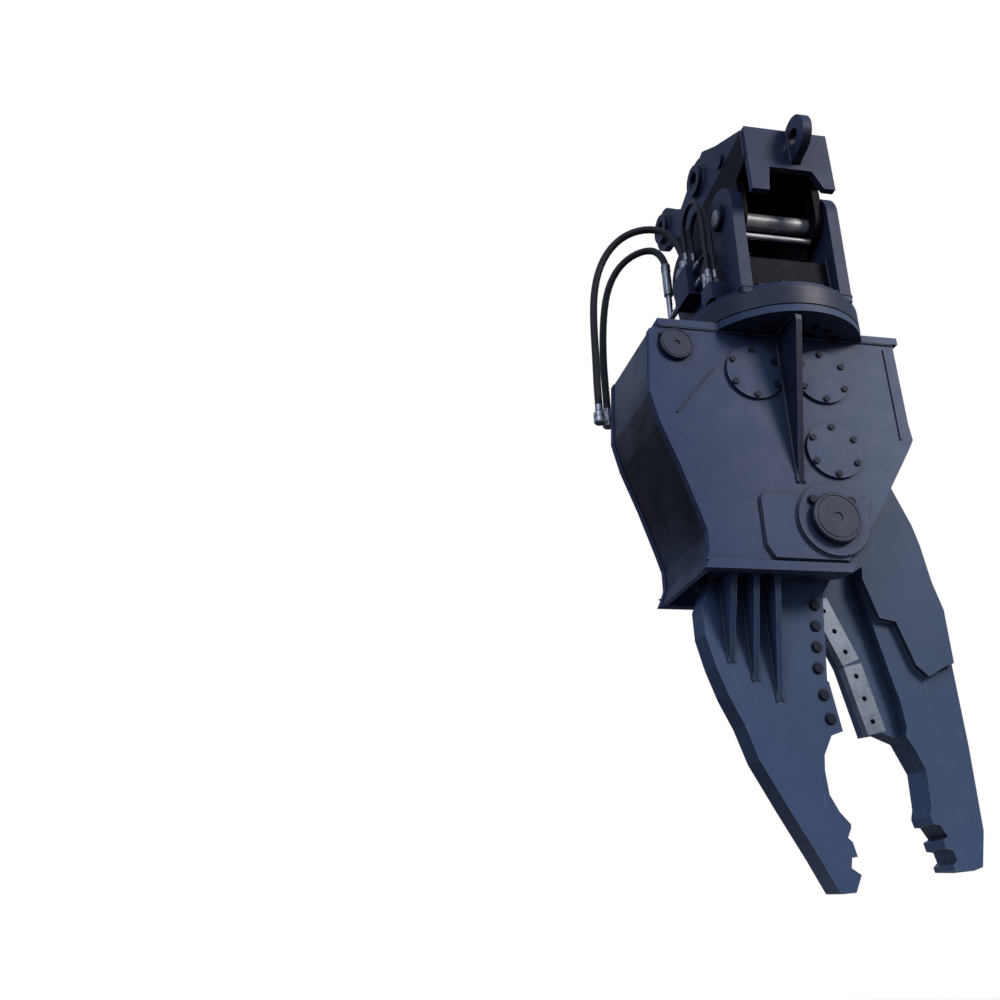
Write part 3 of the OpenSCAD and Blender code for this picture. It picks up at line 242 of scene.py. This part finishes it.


# The same enamel on the casing's left side: painted shade, near-black over its middle, and painted light,
# lighter towards its head; with rust runs and scrapes
def shadedRustySide():
    material, tree, shader, output, place = newMaterial("sidePlatePaintedShadeRust")
    broad = noiseNode(tree, place, 260, 5)
    shader.inputs["Specular IOR Level"].default_value = 0.25
    height = addNode(tree, "ShaderNodeSeparateXYZ", {}, {0: place}).outputs["Z"]
    span = {"From Min": -2.03, "From Max": -1.02}   # metres, the side's foot and head
    rise = addNode(tree, "ShaderNodeMapRange", span, {"Value": height}).outputs[0]
    drift = mathNode(tree, "MULTIPLY", mathNode(tree, "SUBTRACT", broad, 0.5), 0.5)
    waver = mathNode(tree, "ADD", rise, drift)
    # Painted shade and light: the side is darkest over its middle and lighter towards its head, where light
    # falls
    bands = [(0.05, "#39425a"), (0.32, "#15171f"), (0.62, "#1c1e26"), (0.86, "#666e7e")]
    body = colourRamp(tree, waver, bands)
    rustField = noiseNode(tree, place, 150, 8, 0.65, (1.0, 1.0, 0.45))
    rust = colourRamp(tree, rustField, [(0.53, 0.0), (0.66, 1.0)])
    body = mixColour(tree, mathNode(tree, "MULTIPLY", rust, 0.45), body, "#33262a")
    scrapeField = noiseNode(tree, place, 45, 7, 0.7, (6.0, 6.0, 0.5))
    scrapes = colourRamp(tree, scrapeField, [(0.60, 0.0), (0.68, 1.0)])
    body = mixColour(tree, mathNode(tree, "MULTIPLY", scrapes, 0.4), body, "#7a8290")
    tree.links.new(body, shader.inputs["Base Color"])
    tree.links.new(colourRamp(tree, broad, [(0.3, 0.45), (0.7, 0.75)]), shader.inputs["Roughness"])
    height = mathNode(tree, "ADD", broad, mathNode(tree, "MULTIPLY", scrapeField, 0.3))
    bump = addNode(tree, "ShaderNodeBump", {"Strength": 0.35, "Distance": 0.006}, {"Height": height})
    tree.links.new(bump.outputs[0], shader.inputs["Normal"])
    return material


# Steel as it was cut: turned steel shows rings of tool marks, ground steel fine lines, worn steel scores
def bareSteel(name, steel):
    material, tree, shader, output, place = newMaterial(name)
    shader.inputs["Metallic"].default_value = 1.0
    marks = noiseNode(tree, place, steel["markWidth"], 4, 0.7, steel["along"])
    stain = noiseNode(tree, place, 70, 5)
    body = colourRamp(tree, stain, [(0.35, steel["dark"]), (0.65, steel["base"])])
    bright = colourRamp(tree, marks, [(0.45, 0.0), (0.7, 1.0)])
    body = mixColour(tree, mathNode(tree, "MULTIPLY", bright, 0.55), body, steel["light"])
    # Painted shade: near-black darkening in hollows within 3 cm
    hollow = addNode(tree, "ShaderNodeAmbientOcclusion", {"samples": 4, "Distance": 0.03}).outputs["AO"]
    steelHollowShade = colourRamp(tree, hollow, [(0.25, 1.0), (0.85, 0.0)])
    body = mixColour(tree, mathNode(tree, "MULTIPLY", steelHollowShade, 0.6), body, "#1c1a19")
    tree.links.new(body, shader.inputs["Base Color"])
    rough = mathNode(tree, "MULTIPLY_ADD", stain, 0.3)
    rough.node.inputs[2].default_value = steel["rough"] - 0.12
    tree.links.new(rough, shader.inputs["Roughness"])
    bump = addNode(tree, "ShaderNodeBump", {"Strength": steel["bump"], "Distance": 0.001}, {"Height": marks})
    tree.links.new(bump.outputs[0], shader.inputs["Normal"])
    return material


sidePaint = shadedRustySide()
bladeSteel = bareSteel("groundBladeSteel", {
    "base": "#757d8a", "dark": "#555c68", "light": "#9ca3ae", "markWidth": 5,
    "along": (0.25, 1.0, 3.0), "rough": 0.42, "bump": 0.30,
})
pinSteel = bareSteel("turnedPinSteel", {
    "base": "#c4c4c8", "dark": "#9a999c", "light": "#e2e2e4", "markWidth": 4,
    "along": (3.0, 0.6, 0.6), "rough": 0.46, "bump": 0.15,
})
ringSteel = bareSteel("forgedRingSteel", {
    "base": "#6f757f", "dark": "#4a4f59", "light": "#989da6", "markWidth": 5,
    "along": (0.6, 0.6, 3.0), "rough": 0.50, "bump": 0.18,
})
platedSteel = bareSteel("zincPlatedFittings", {
    "base": "#b9bcc0", "dark": "#8a8d92", "light": "#e0e2e4", "markWidth": 3,
    "along": (1.0, 1.0, 2.0), "rough": 0.30, "bump": 0.10,
})
chromeSteel = bareSteel("hardChromeRod", {
    "base": "#c9ccd0", "dark": "#a9adb3", "light": "#e8eaec", "markWidth": 3,
    "along": (3.0, 3.0, 0.4), "rough": 0.20, "bump": 0.04,
})
weldSteel = bareSteel("paintedWeldBead", {
    "base": "#3c475e", "dark": "#2c364b", "light": "#586479", "markWidth": 6,
    "along": (1.0, 1.0, 1.0), "rough": 0.55, "bump": 0.35,
})
weldSteel.node_tree.nodes["Principled BSDF"].inputs["Metallic"].default_value = 0.0
pinSteel.node_tree.nodes["Principled BSDF"].inputs["Metallic"].default_value = 0.45
bladeSteel.node_tree.nodes["Principled BSDF"].inputs["Metallic"].default_value = 0.7


# Extruded nitrile cover over wire braid: matt black, fine cloth print, grey dust on top
def hoseRubber():
    material, tree, shader, output, place = newMaterial("nitrileHoseCover")
    dust = noiseNode(tree, place, 55, 6, 0.6)
    body = colourRamp(tree, dust, [(0.38, "#141519"), (0.62, "#26282e"), (0.80, "#4b4e55")])
    tree.links.new(body, shader.inputs["Base Color"])
    tree.links.new(colourRamp(tree, dust, [(0.3, 0.42), (0.7, 0.68)]), shader.inputs["Roughness"])
    cloth = addNode(tree, "ShaderNodeTexVoronoi", {"Scale": 260.0}, {"Vector": place}).outputs["Distance"]
    bump = addNode(tree, "ShaderNodeBump", {"Strength": 0.18, "Distance": 0.0006}, {"Height": cloth})
    tree.links.new(bump.outputs[0], shader.inputs["Normal"])
    return material


hoseCover = hoseRubber()
print("metals and rubber made")


# Hoses: the same routes as the solids, in millimetres from the slewing axis
hose = {
    "supplyRadius": 0.017,
    "controlRadius": 0.010,
    "steps": 4,
    "supply": [
        [(-285, 335, 600), (-285, 335, 620), (-285, 335, 660), (-300, 390, 770), (-365, 470, 800),
         (-450, 510, 740), (-520, 505, 600), (-565, 470, 420), (-595, 440, 190), (-600, 425, 20),
         (-600, 425, -40), (-600, 425, -100)],
        [(-277, 144, 485), (-277, 144, 510), (-277, 144, 560), (-300, 180, 700), (-370, 250, 780),
         (-470, 320, 790), (-560, 370, 710), (-620, 390, 560), (-645, 385, 370), (-650, 375, 150),
         (-655, 375, 0), (-655, 375, -55), (-655, 375, -110)],
    ],
    "control": [
        [(-277, 25, 333), (-277, 10, 333), (-277, -15, 333), (-290, -90, 345), (-308, -115, 310),
         (-308, -105, 275), (-308, -105, 260), (-308, -105, 245)],
        [(-277, 25, 417), (-277, 10, 417), (-277, -15, 417), (-277, -100, 415), (-278, -107, 340),
         (-278, -105, 290), (-278, -105, 265), (-278, -105, 245)],
        [(-294, 81, 485), (-294, 81, 505), (-294, 81, 545), (-300, 75, 660), (-306, -30, 710),
         (-308, -135, 650), (-308, -140, 500), (-308, -140, 360), (-308, -140, 290),
         (-308, -140, 245)],
        [(-260, 81, 485), (-260, 81, 505), (-260, 81, 540), (-266, 78, 630), (-276, -30, 680),
         (-278, -138, 610), (-278, -140, 480), (-278, -140, 360), (-278, -140, 290),
         (-278, -140, 245)],
    ],
}


# Uniform cubic spline with a straight first and last length
def hosePath(route, steps):
    points = [Vector(p) for p in route]
    line = [points[0]]
    for i in range(1, len(points) - 2):
        a, b, c, d = points[i - 1:i + 3]
        for k in range(steps):
            t = k / steps
            line.append(((1 - t) ** 3 * a + (3 * t ** 3 - 6 * t * t + 4) * b
                         + (3 * t * t + 3 * t - 3 * t ** 3 + 1) * c + t ** 3 * d) / 6)
    line += [points[-2], points[-1]]
    return [ringPoint(*p) for p in line]


def tubeCurve(name, points, radius, material, body, around=5):
    data = bpy.data.curves.new(name, "CURVE")
    data.dimensions = "3D"
    data.bevel_depth = radius
    data.bevel_resolution = around
    data.use_fill_caps = True
    spline = data.splines.new("POLY")
    spline.points.add(len(points) - 1)
    for point, at in zip(spline.points, points):
        point.co = (*at, 1)
    spline.use_smooth = True
    piece = bpy.data.objects.new(name, data)
    bpy.context.collection.objects.link(piece)
    data.materials.append(material)
    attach(piece, body)
    return piece


def meshPiece(name, mesh, material, body, smooth=True):
    bmesh.ops.recalc_face_normals(mesh, faces=mesh.faces)
    data = bpy.data.meshes.new(name)
    mesh.to_mesh(data)
    mesh.free()
    for face in data.polygons:
        face.use_smooth = smooth
    data.materials.append(material)
    piece = bpy.data.objects.new(name, data)
    bpy.context.collection.objects.link(piece)
    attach(piece, body)
    return piece


# A lathe shape: the profile is (millimetres along, radius) from the point; flats marks a span with six flats
def turnedPiece(name, at, along, profile, material, body, sides=32, flats=None):
    along = Vector(along).normalized()
    side = along.orthogonal().normalized()
    over = along.cross(side)
    mesh = bmesh.new()
    rings = []
    for step, radius in profile:
        ring = []
        for k in range(sides):
            angle = 2 * math.pi * k / sides
            reach = radius
            if flats and flats[0] <= step <= flats[1]:
                turned = (angle + math.pi / 6) % (math.pi / 3) - math.pi / 6
                reach = radius * math.cos(math.pi / 6) / math.cos(turned)
            outward = reach * (math.cos(angle) * side + math.sin(angle) * over)
            ring.append(mesh.verts.new(at + (step * along + outward) / 1000))
        rings.append(ring)
    for first, second in zip(rings, rings[1:]):
        for k in range(sides):
            mesh.faces.new((first[k], first[(k + 1) % sides], second[(k + 1) % sides], second[k]))
    mesh.faces.new(rings[0][::-1])
    mesh.faces.new(rings[-1])
    return meshPiece(name, mesh, material, body, False)


coupler = {
    "profile": [(0.3, 15), (0.8, 18), (30, 18), (31, 21.5), (38, 21.5), (39, 26), (41, 27),
                (58, 27), (59, 24), (64, 24), (65, 27), (84, 27), (86, 24), (90, 22)],
    "flats": (31, 38),
}
# A swaged ferrule: plain collar, then the pressed ribs; lengths in millimetres, radii as shares of the hose's
ferrule = [(0.4, 1.05), (1, 1.32), (6, 1.32), (7, 1.22), (11, 1.22), (12, 1.30), (16, 1.30), (17, 1.22),
           (21, 1.22), (22, 1.30), (26, 1.30), (27, 1.22), (31, 1.22), (32, 1.28), (37, 1.24), (38, 1.06)]


def ferruleAt(name, point, towards, radius):
    profile = [(step, share * radius * 1000) for step, share in ferrule]
    return turnedPiece(name, point, towards - point, profile, platedSteel, "hanger", 24)


for i, route in enumerate(hose["supply"]):
    points = hosePath(route, hose["steps"])
    piece = tubeCurve(f"supplyHose{i + 1}", points, hose["supplyRadius"], hoseCover, "hanger")
    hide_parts("supply_hoses")
    top = ferruleAt(f"supplyFerrule{i + 1}", points[0], points[1], hose["supplyRadius"])
    end = turnedPiece(f"supplyCoupler{i + 1}", points[-1], (0, 0, -1), coupler["profile"], platedSteel,
                      "hanger", 36, coupler["flats"])
    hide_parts("hose_couplers")
for i, route in enumerate(hose["control"]):
    points = hosePath(route, hose["steps"])
    piece = tubeCurve(f"controlHose{i + 1}", points, hose["controlRadius"], hoseCover, "hanger", 4)
    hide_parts("control_hoses")
    ends = [ferruleAt(f"controlFerrule{i + 1}a", points[0], points[1], hose["controlRadius"]),
            ferruleAt(f"controlFerrule{i + 1}b", points[-1], points[-2], hose["controlRadius"])]
print("hoses laid")


# Finishes of the CAD nodes
finish = {
    "casing": (casingPaint, 0.0025, [
        "top_plate", "front_plate", "back_plate", "right_side_plate", "inner_webs", "edge_bars",
        "inspection_covers", "pivot_doublers", "pivot_rings", "pivot_cheeks", "cylinder_pin_bosses"]),
    "side": (sidePaint, 0.003, ["left_side_plate"]),
    "jaw": (jawPaint, 0.004, [
        "fixed_jaw_back", "fixed_jaw_front", "fixed_jaw_doubler", "jaw_root", "moving_jaw_plate",
        "moving_jaw_hub", "lever_cheeks", "jaw_ribs"]),
    # Painted shadow: hitch hooks, hitch floor and bracket web take the near-black enamel for the shade they
    # sit in
    "inside": (shadowDarkPaint, 0.002, ["hitch_hooks", "hitch_floor", "bracket_web"]),
    "hanger": (hangerPaint, 0.003, [
        "hitch_plates", "hitch_cross_plate", "lifting_eye", "bracket_plates", "base_plate", "slew_motor",
        "swivel_housing", "valve_block", "cylinder_barrel", "cylinder_gland", "barrel_pipe"]),
    "bolts": (boltPaint, 0.001, [
        "cover_bolts", "ring_bolts_upper", "ring_bolts_lower", "fixed_blade_bolts", "moving_blade_bolts"]),
    "collars": (pinPaint, 0.002, ["cross_pin_collars"]),
    "pins": (pinSteel, 0.002, ["cross_pins", "stay_rod", "main_pin", "cylinder_pin", "rod_pin"]),
    "ring": (ringSteel, 0.002, ["slew_ring_inner", "slew_pinion", "swivel_spool", "piston"]),
    # Painted shade: the nose gusset takes the dark ring enamel for the shade on its sides
    "ringRimAndGussetShade": (ringAndGussetShadePaint, 0.002, ["slew_ring_outer", "nose_gusset"]),
    "balls": (chromeSteel, 0, ["slew_balls"]),
    "blades": (bladeSteel, 0.0015, ["fixed_blades", "moving_blades"]),
    "rod": (chromeSteel, 0.001, ["piston_rod"]),
    "fittings": (platedSteel, 0.001, ["valve_fittings"]),
}
softCorner = {"segments": 2, "fromAngle": 40}
for material, bevelWidth, names in finish.values():
    for name in names:
        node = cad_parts[name]
        node.data.materials.clear()
        node.data.materials.append(material)
        if bevelWidth:
            bevel = node.modifiers.new("softCorners", "BEVEL")
            bevel.width = bevelWidth
            bevel.segments = softCorner["segments"]
            bevel.limit_method = "ANGLE"
            bevel.angle_limit = math.radians(softCorner["fromAngle"])
            bevel.harden_normals = False
print("finishes given")


# Weld beads: rippled tubes along the joints of the plates, in millimetres from the slewing axis
weld = {"pitch": 6, "sides": 8, "tip": 0.35}


# A closed ring of faces between each two neighbouring loops of vertices, and a face over either end
def skinLoops(mesh, loops):
    for first, second in zip(loops, loops[1:]):
        count = len(first)
        for k in range(count):
            j = (k + 1) % count
            mesh.faces.new((first[k], first[j], second[j], second[k]))
    mesh.faces.new(loops[0][::-1])
    mesh.faces.new(loops[-1])


# One piece of many fillet beads; each line is (points, radius, closed) and its radius swells once a ripple
def weldBeads(name, body, lines):
    mesh = bmesh.new()
    for points, radius, closed in lines:
        line = [Vector(p) for p in points] + ([Vector(points[0])] if closed else [])
        steps = []
        for a, b in zip(line, line[1:]):
            count = max(1, round((b - a).length / weld["pitch"]))
            steps += [a.lerp(b, k / count) for k in range(count)]
        steps.append(line[-1])
        loops = []
        for i, at in enumerate(steps):
            ahead = (steps[min(i + 1, len(steps) - 1)] - steps[max(i - 1, 0)]).normalized()
            side = ahead.cross(Vector((0.31, 0.87, 0.38))).normalized()
            over = ahead.cross(side)
            swell = radius * (0.82 + 0.26 * (i % 2) + 0.10 * math.sin(i * 1.7))
            if i in (0, len(steps) - 1) and not closed:
                swell *= weld["tip"]
            loop = []
            for k in range(weld["sides"]):
                angle = 2 * math.pi * k / weld["sides"]
                outward = swell * (math.cos(angle) * side + math.sin(angle) * over)
                loop.append(mesh.verts.new(ringPoint(*(at + outward))))
            loops.append(loop)
        skinLoops(mesh, loops)
    return meshPiece(name, mesh, weldSteel, body)


# Points of a circle that faces along Y ("xz") or along X ("yz")
def circleAt(plane, centre, radius, level, count=48):
    points = []
    for k in range(count):
        u = centre[0] + radius * math.cos(2 * math.pi * k / count)
        w = centre[1] + radius * math.sin(2 * math.pi * k / count)
        points.append((u, level, w) if plane == "xz" else (level, u, w))
    return points


casing = {
    "width": 1080, "height": 1017, "top": 31, "front": -172, "back": 328, "pivot": (46.0, -844.6),
    "pivotRing": 147, "pivotRingOut": 15, "headSeam": (-568, 462, -33), "footSeam": (-483, 97, -1012),
    "patchSeam": [(-352, -174, -203), (-530, -174, -416)],
    "gusset": -52, "gussetHalf": 14, "gussetFoot": -690, "noseTip": -346,
    "doubler": [(-0.2046, -0.702), (0.2056, -0.702), (0.155, -0.860), (0.083, -0.955), (-0.1917, -0.952),
                (-0.2185, -0.903), (-0.2185, -0.720)],
}
jaw = {
    "length": 1310, "front": -10, "back": 95, "ribHead": -1037, "ribHalf": 12.5, "doublerFace": 48,
    "ribs": [(-354, -1361), (-266, -1431), (-181, -1507)],
    "doubler": [(0.162, -0.119), (0.196, -0.240), (0.248, -0.250), (0.289, -0.382), (0.324, -0.415),
                (0.381, -0.385), (0.413, -0.374)],
    "bolts": [((-0.021, -0.183), (-0.047, -0.434), 4), ((-0.043, -0.445), (-0.024, -0.581), 2)],
}
hanger = {
    "platesAt": 190, "pins": [(80, 935), (510, 985)], "bossFoot": 72, "bossRim": 69.5,
    "bracket": (192, 242), "earSpan": (-287, 292), "deck": 115, "web": (190, -232, 117, 338),
    "crossFace": -396, "crossEnds": (188, -366, 700, 832), "eyeSides": (4, 46), "eyeSpan": (672, 836),
}


def casingPoint(share, y):
    return (share[0] * casing["width"], y, share[1] * casing["height"] - casing["top"])


def jawPoint(share, y):
    return (casing["pivot"][0] + share[0] * jaw["length"], y, casing["pivot"][1] + share[1] * jaw["length"])


beads = []
for y, out in ((casing["front"], -1), (casing["back"], 1)):
    beads.append(([casingPoint(p, y + 2 * out) for p in casing["doubler"]], 6.5, True))
    level = y + casing["pivotRingOut"] * out
    beads.append((circleAt("xz", casing["pivot"], casing["pivotRing"], level), 6, True))
    for (left, right, z), radius in ((casing["headSeam"], 6), (casing["footSeam"], 4)):
        beads.append(([(left, y + out, z), (right, y + out, z)], radius, False))
beads.append((casing["patchSeam"], 4, False))
for side in (-casing["gussetHalf"], casing["gussetHalf"]):
    x, y = casing["gusset"] + side, casing["front"]
    beads.append(([(x, y - 2, -36), (x, y - 2, casing["gussetFoot"])], 7.5, False))
    beads.append(([(x, y - 4, -33), (x, casing["noseTip"], -33)], 7, False))
weldBeads("casingWeldBeads", "casing", beads)
edgeLine = [jawPoint(p, jaw["doublerFace"]) for p in jaw["doubler"]]
weldBeads("fixedJawWeldBeads", "casing", [(edgeLine, 6, False)])

beads = []
for x, foot in jaw["ribs"]:
    for y in (jaw["front"] - 1, jaw["back"] + 1):
        for side in (-jaw["ribHalf"], jaw["ribHalf"]):
            beads.append(([(x + side, y, jaw["ribHead"]), (x + side, y, foot + 4)], 6, False))
weldBeads("ribWeldBeads", "moving_jaw", beads)

beads = []
near, far = hanger["earSpan"]
for side in (-1, 1):
    for centre in hanger["pins"]:
        beads.append((circleAt("yz", centre, hanger["bossFoot"], side * (hanger["platesAt"] + 1)), 5.5, True))
        beads.append((circleAt("yz", centre, hanger["bossRim"], side * (hanger["platesAt"] + 25)), 1.5, True))
    for x in hanger["bracket"]:
        beads.append(([(side * x, near, hanger["deck"]), (side * x, far, hanger["deck"])], 7, False))
    beads.append(([(side * x, near, hanger["deck"]) for x in hanger["bracket"]], 7, False))
    for x, y, low, high in (hanger["crossEnds"], hanger["web"]):
        beads.append(([(side * x, y, low), (side * x, y, high)], 6, False))
for x in hanger["eyeSides"]:
    beads.append(([(x, hanger["crossFace"], z) for z in hanger["eyeSpan"]], 6, False))
weldBeads("hangerWeldBeads", "hanger", beads)
print("weld beads laid")


# Small hardware
# The same turned shape at several spots, as one piece; each spot is (point in millimetres, direction)
def discStack(name, spots, profile, material, body, sides=24, flats=None):
    mesh = bmesh.new()
    for k, (point, along) in enumerate(spots):
        spot = ringPoint(*point)
        part = turnedPiece(f"{name}Part{k}", spot, along, profile, material, body, sides, flats)
        mesh.from_mesh(part.data)
        bpy.data.objects.remove(part)
    return meshPiece(name, mesh, material, body, False)


washer = [(0.2, 22), (3.6, 22), (4.2, 21)]
socket = [(-0.4, 9), (0.5, 8.6)]
headHeight = 10.3
boltSpots = []
for start, end, count in jaw["bolts"]:
    for k in range(count):
        t = (k + 0.5) / count
        share = (start[0] + (end[0] - start[0]) * t, start[1] + (end[1] - start[1]) * t)
        boltSpots.append((jawPoint(share, jaw["front"]), (0, -1, 0)))
socketSpots = [((x, y - headHeight, z), along) for (x, y, z), along in boltSpots]
discStack("bladeBoltWashers", boltSpots, washer, boltPaint, "moving_jaw")
discStack("bladeBoltSockets", socketSpots, socket, boltPaint, "moving_jaw", 6)

# Pin caps: a turned disc with a groove and a centre hole, held by two screws above the centre
caps = [
    {"name": "pivotPinCap", "at": (46.0, -844.6), "faces": (-200.3, 356.3), "radius": 100, "thick": 30,
     "screwsAt": (80, 76), "screw": 11},
    {"name": "cylinderPinCap", "at": (-504.0, -115.0), "faces": (-172.3, 328.3), "radius": 69, "thick": 18,
     "screwsAt": (52, 40), "screw": 8},
]
for cap in caps:
    (x, z), radius, thick, screw = cap["at"], cap["radius"], cap["thick"], cap["screw"]
    across, up = cap["screwsAt"]
    disc = [(0, radius - 3), (2, radius), (thick - 4, radius), (thick, radius - 4), (thick, radius * 0.88),
            (thick - 3, radius * 0.86), (thick - 3, radius * 0.83), (thick, radius * 0.81),
            (thick, radius * 0.20), (thick - 5, radius * 0.16)]
    head = [(0.2, 1.9 * screw), (3, 1.9 * screw), (3.4, 1.5 * screw), (3.4 + screw, 1.5 * screw)]
    for face, out in zip(cap["faces"], (-1, 1)):
        end = "Front" if out < 0 else "Back"
        middle = [((x, face, z), (0, out, 0))]
        screws = [((x + k * across, face, z + up), (0, out, 0)) for k in (-1, 1)]
        name = cap["name"] + end
        piece = discStack(name, middle, disc, pinPaint, "casing", 96)
        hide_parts("pin_caps")
        heads = discStack(name + "Screws", screws, head, boltPaint, "casing", 24, (3.4, 60))
        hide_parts("pin_caps")

# Folded guard plates inside the bracket, one beside each hitch hook, in the near-black enamel that paints
# shadow
guard = {
    "inner": 138, "thick": 6, "fold": 26, "clear": 0.3,
    "outline": [(-165, 372), (150, 372), (150, 500), (120, 532), (-130, 532), (-165, 500)],
}
guardMesh = bmesh.new()
near, far = guard["inner"], guard["inner"] + guard["thick"]
(front, low), (back, low) = guard["outline"][:2]
corners = [(near - guard["fold"], front), (far, front), (far, back), (near - guard["fold"], back)]
for side in (-1, 1):
    levels = (low - guard["thick"], low - guard["clear"])
    plate = [[(side * x, y, z) for y, z in guard["outline"]] for x in (near, far)]
    foot = [[(side * x, y, z) for x, y in corners] for z in levels]
    for loops in (plate, foot):
        skinLoops(guardMesh, [[guardMesh.verts.new(ringPoint(*at)) for at in loop] for loop in loops])
meshPiece("hookGuardPlates", guardMesh, shadowDarkPaint, "hanger", False)

nipple = {
    "profile": [(0.2, 6), (3, 6), (3.4, 3.6), (5, 3.6), (5.6, 2.6), (6.6, 3.6), (8, 3.6), (9, 2)],
    "flats": (0, 5.2), "out": 215.4, "above": 55,
}
nippleSpots = [((side * nipple["out"], y, z + nipple["above"]), (side, 0, 0))
               for side in (-1, 1) for y, z in hanger["pins"]]
discStack("greaseNipples", nippleSpots, nipple["profile"], platedSteel, "hanger", 12,
          nipple["flats"])
print("hardware placed")


# Stage: pale floor, a world that is light above and dark below, soft lamps
stage = {
    "floorAt": -3.585, "floorRadius": 2.1, "fadeFrom": 0.45, "fadeTo": 0.98,
    "floor": "#e6e6e4", "floorRough": 0.8,
    "sky": "#ccdafa", "ground": "#1c2029", "dusk": (-0.35, 0.45), "strength": 0.55, "seen": "#ffffff",
}


# White where the camera sees it; its light comes from a pale sky over dark ground
def paleWorld():
    world = bpy.data.worlds.new("paleWorld")
    world.use_nodes = True
    tree = world.node_tree
    tree.nodes.clear()
    heading = addNode(tree, "ShaderNodeTexCoord").outputs["Generated"]
    rise = addNode(tree, "ShaderNodeSeparateXYZ", {}, {0: heading}).outputs["Z"]
    dusk = {"From Min": stage["dusk"][0], "From Max": stage["dusk"][1]}
    level = addNode(tree, "ShaderNodeMapRange", dusk, {"Value": rise}).outputs[0]
    shade = colourRamp(tree, level, [(0.0, stage["ground"]), (1.0, stage["sky"])])
    lighting = addNode(tree, "ShaderNodeBackground", {"Strength": stage["strength"]}, {"Color": shade})
    seen = addNode(tree, "ShaderNodeBackground", {"Color": toLinear(stage["seen"]), "Strength": 1.0})
    inPicture = addNode(tree, "ShaderNodeLightPath").outputs["Is Camera Ray"]
    mix = addNode(tree, "ShaderNodeMixShader", {}, {0: inPicture, 1: lighting.outputs[0], 2: seen.outputs[0]})
    addNode(tree, "ShaderNodeOutputWorld", {}, {"Surface": mix.outputs[0]})
    bpy.context.scene.world = world


paleWorld()
floorMesh = bmesh.new()
bmesh.ops.create_circle(floorMesh, cap_ends=True, segments=96, radius=stage["floorRadius"])
floorData = bpy.data.meshes.new("floor")
floorMesh.to_mesh(floorData)
floorMesh.free()
floor = bpy.data.objects.new("floor", floorData)
floor.location = (0.0, -0.5, stage["floorAt"])
bpy.context.collection.objects.link(floor)
floorPaint, tree, shader, output, place = newMaterial("paleFloor")
shader.inputs["Base Color"].default_value = toLinear(stage["floor"])
shader.inputs["Roughness"].default_value = stage["floorRough"]
distance = addNode(tree, "ShaderNodeVectorMath", {"operation": "LENGTH"}, {0: place}).outputs["Value"]
radius = stage["floorRadius"]
span = {"From Min": radius * stage["fadeFrom"], "From Max": radius * stage["fadeTo"]}
fade = addNode(tree, "ShaderNodeMapRange", span, {"Value": distance}).outputs[0]
clear = addNode(tree, "ShaderNodeBsdfTransparent").outputs[0]
edge = addNode(tree, "ShaderNodeMixShader", {}, {0: fade, 1: shader.outputs[0], 2: clear})
tree.links.new(edge.outputs[0], output.inputs["Surface"])
floorData.materials.append(floorPaint)

lamps = [
    {"name": "keyLamp", "place": (6.4, -9.6, 4.2), "size": 4.0, "power": 900, "colour": "#fffaf2"},
    {"name": "fillLamp", "place": (-6.2, -7.0, 2.2), "size": 4.0, "power": 130, "colour": "#e8f0ff"},
    {"name": "rimLamp", "place": (3.2, 5.4, 3.4), "size": 3.0, "power": 260, "colour": "#ffffff"},
]
aim = Vector((0.0, -0.5, -1.5))
for lamp in lamps:
    data = bpy.data.lights.new(lamp["name"], "AREA")
    data.shape = "DISK"
    data.size = lamp["size"]
    data.energy = lamp["power"]
    data.color = toLinear(lamp["colour"])[:3]
    light = bpy.data.objects.new(lamp["name"], data)
    light.location = lamp["place"]
    light.rotation_euler = (Vector(lamp["place"]) - aim).to_track_quat("Z", "Y").to_euler()
    bpy.context.collection.objects.link(light)
bpy.context.scene.view_settings.view_transform = "Standard"
print("stage set")
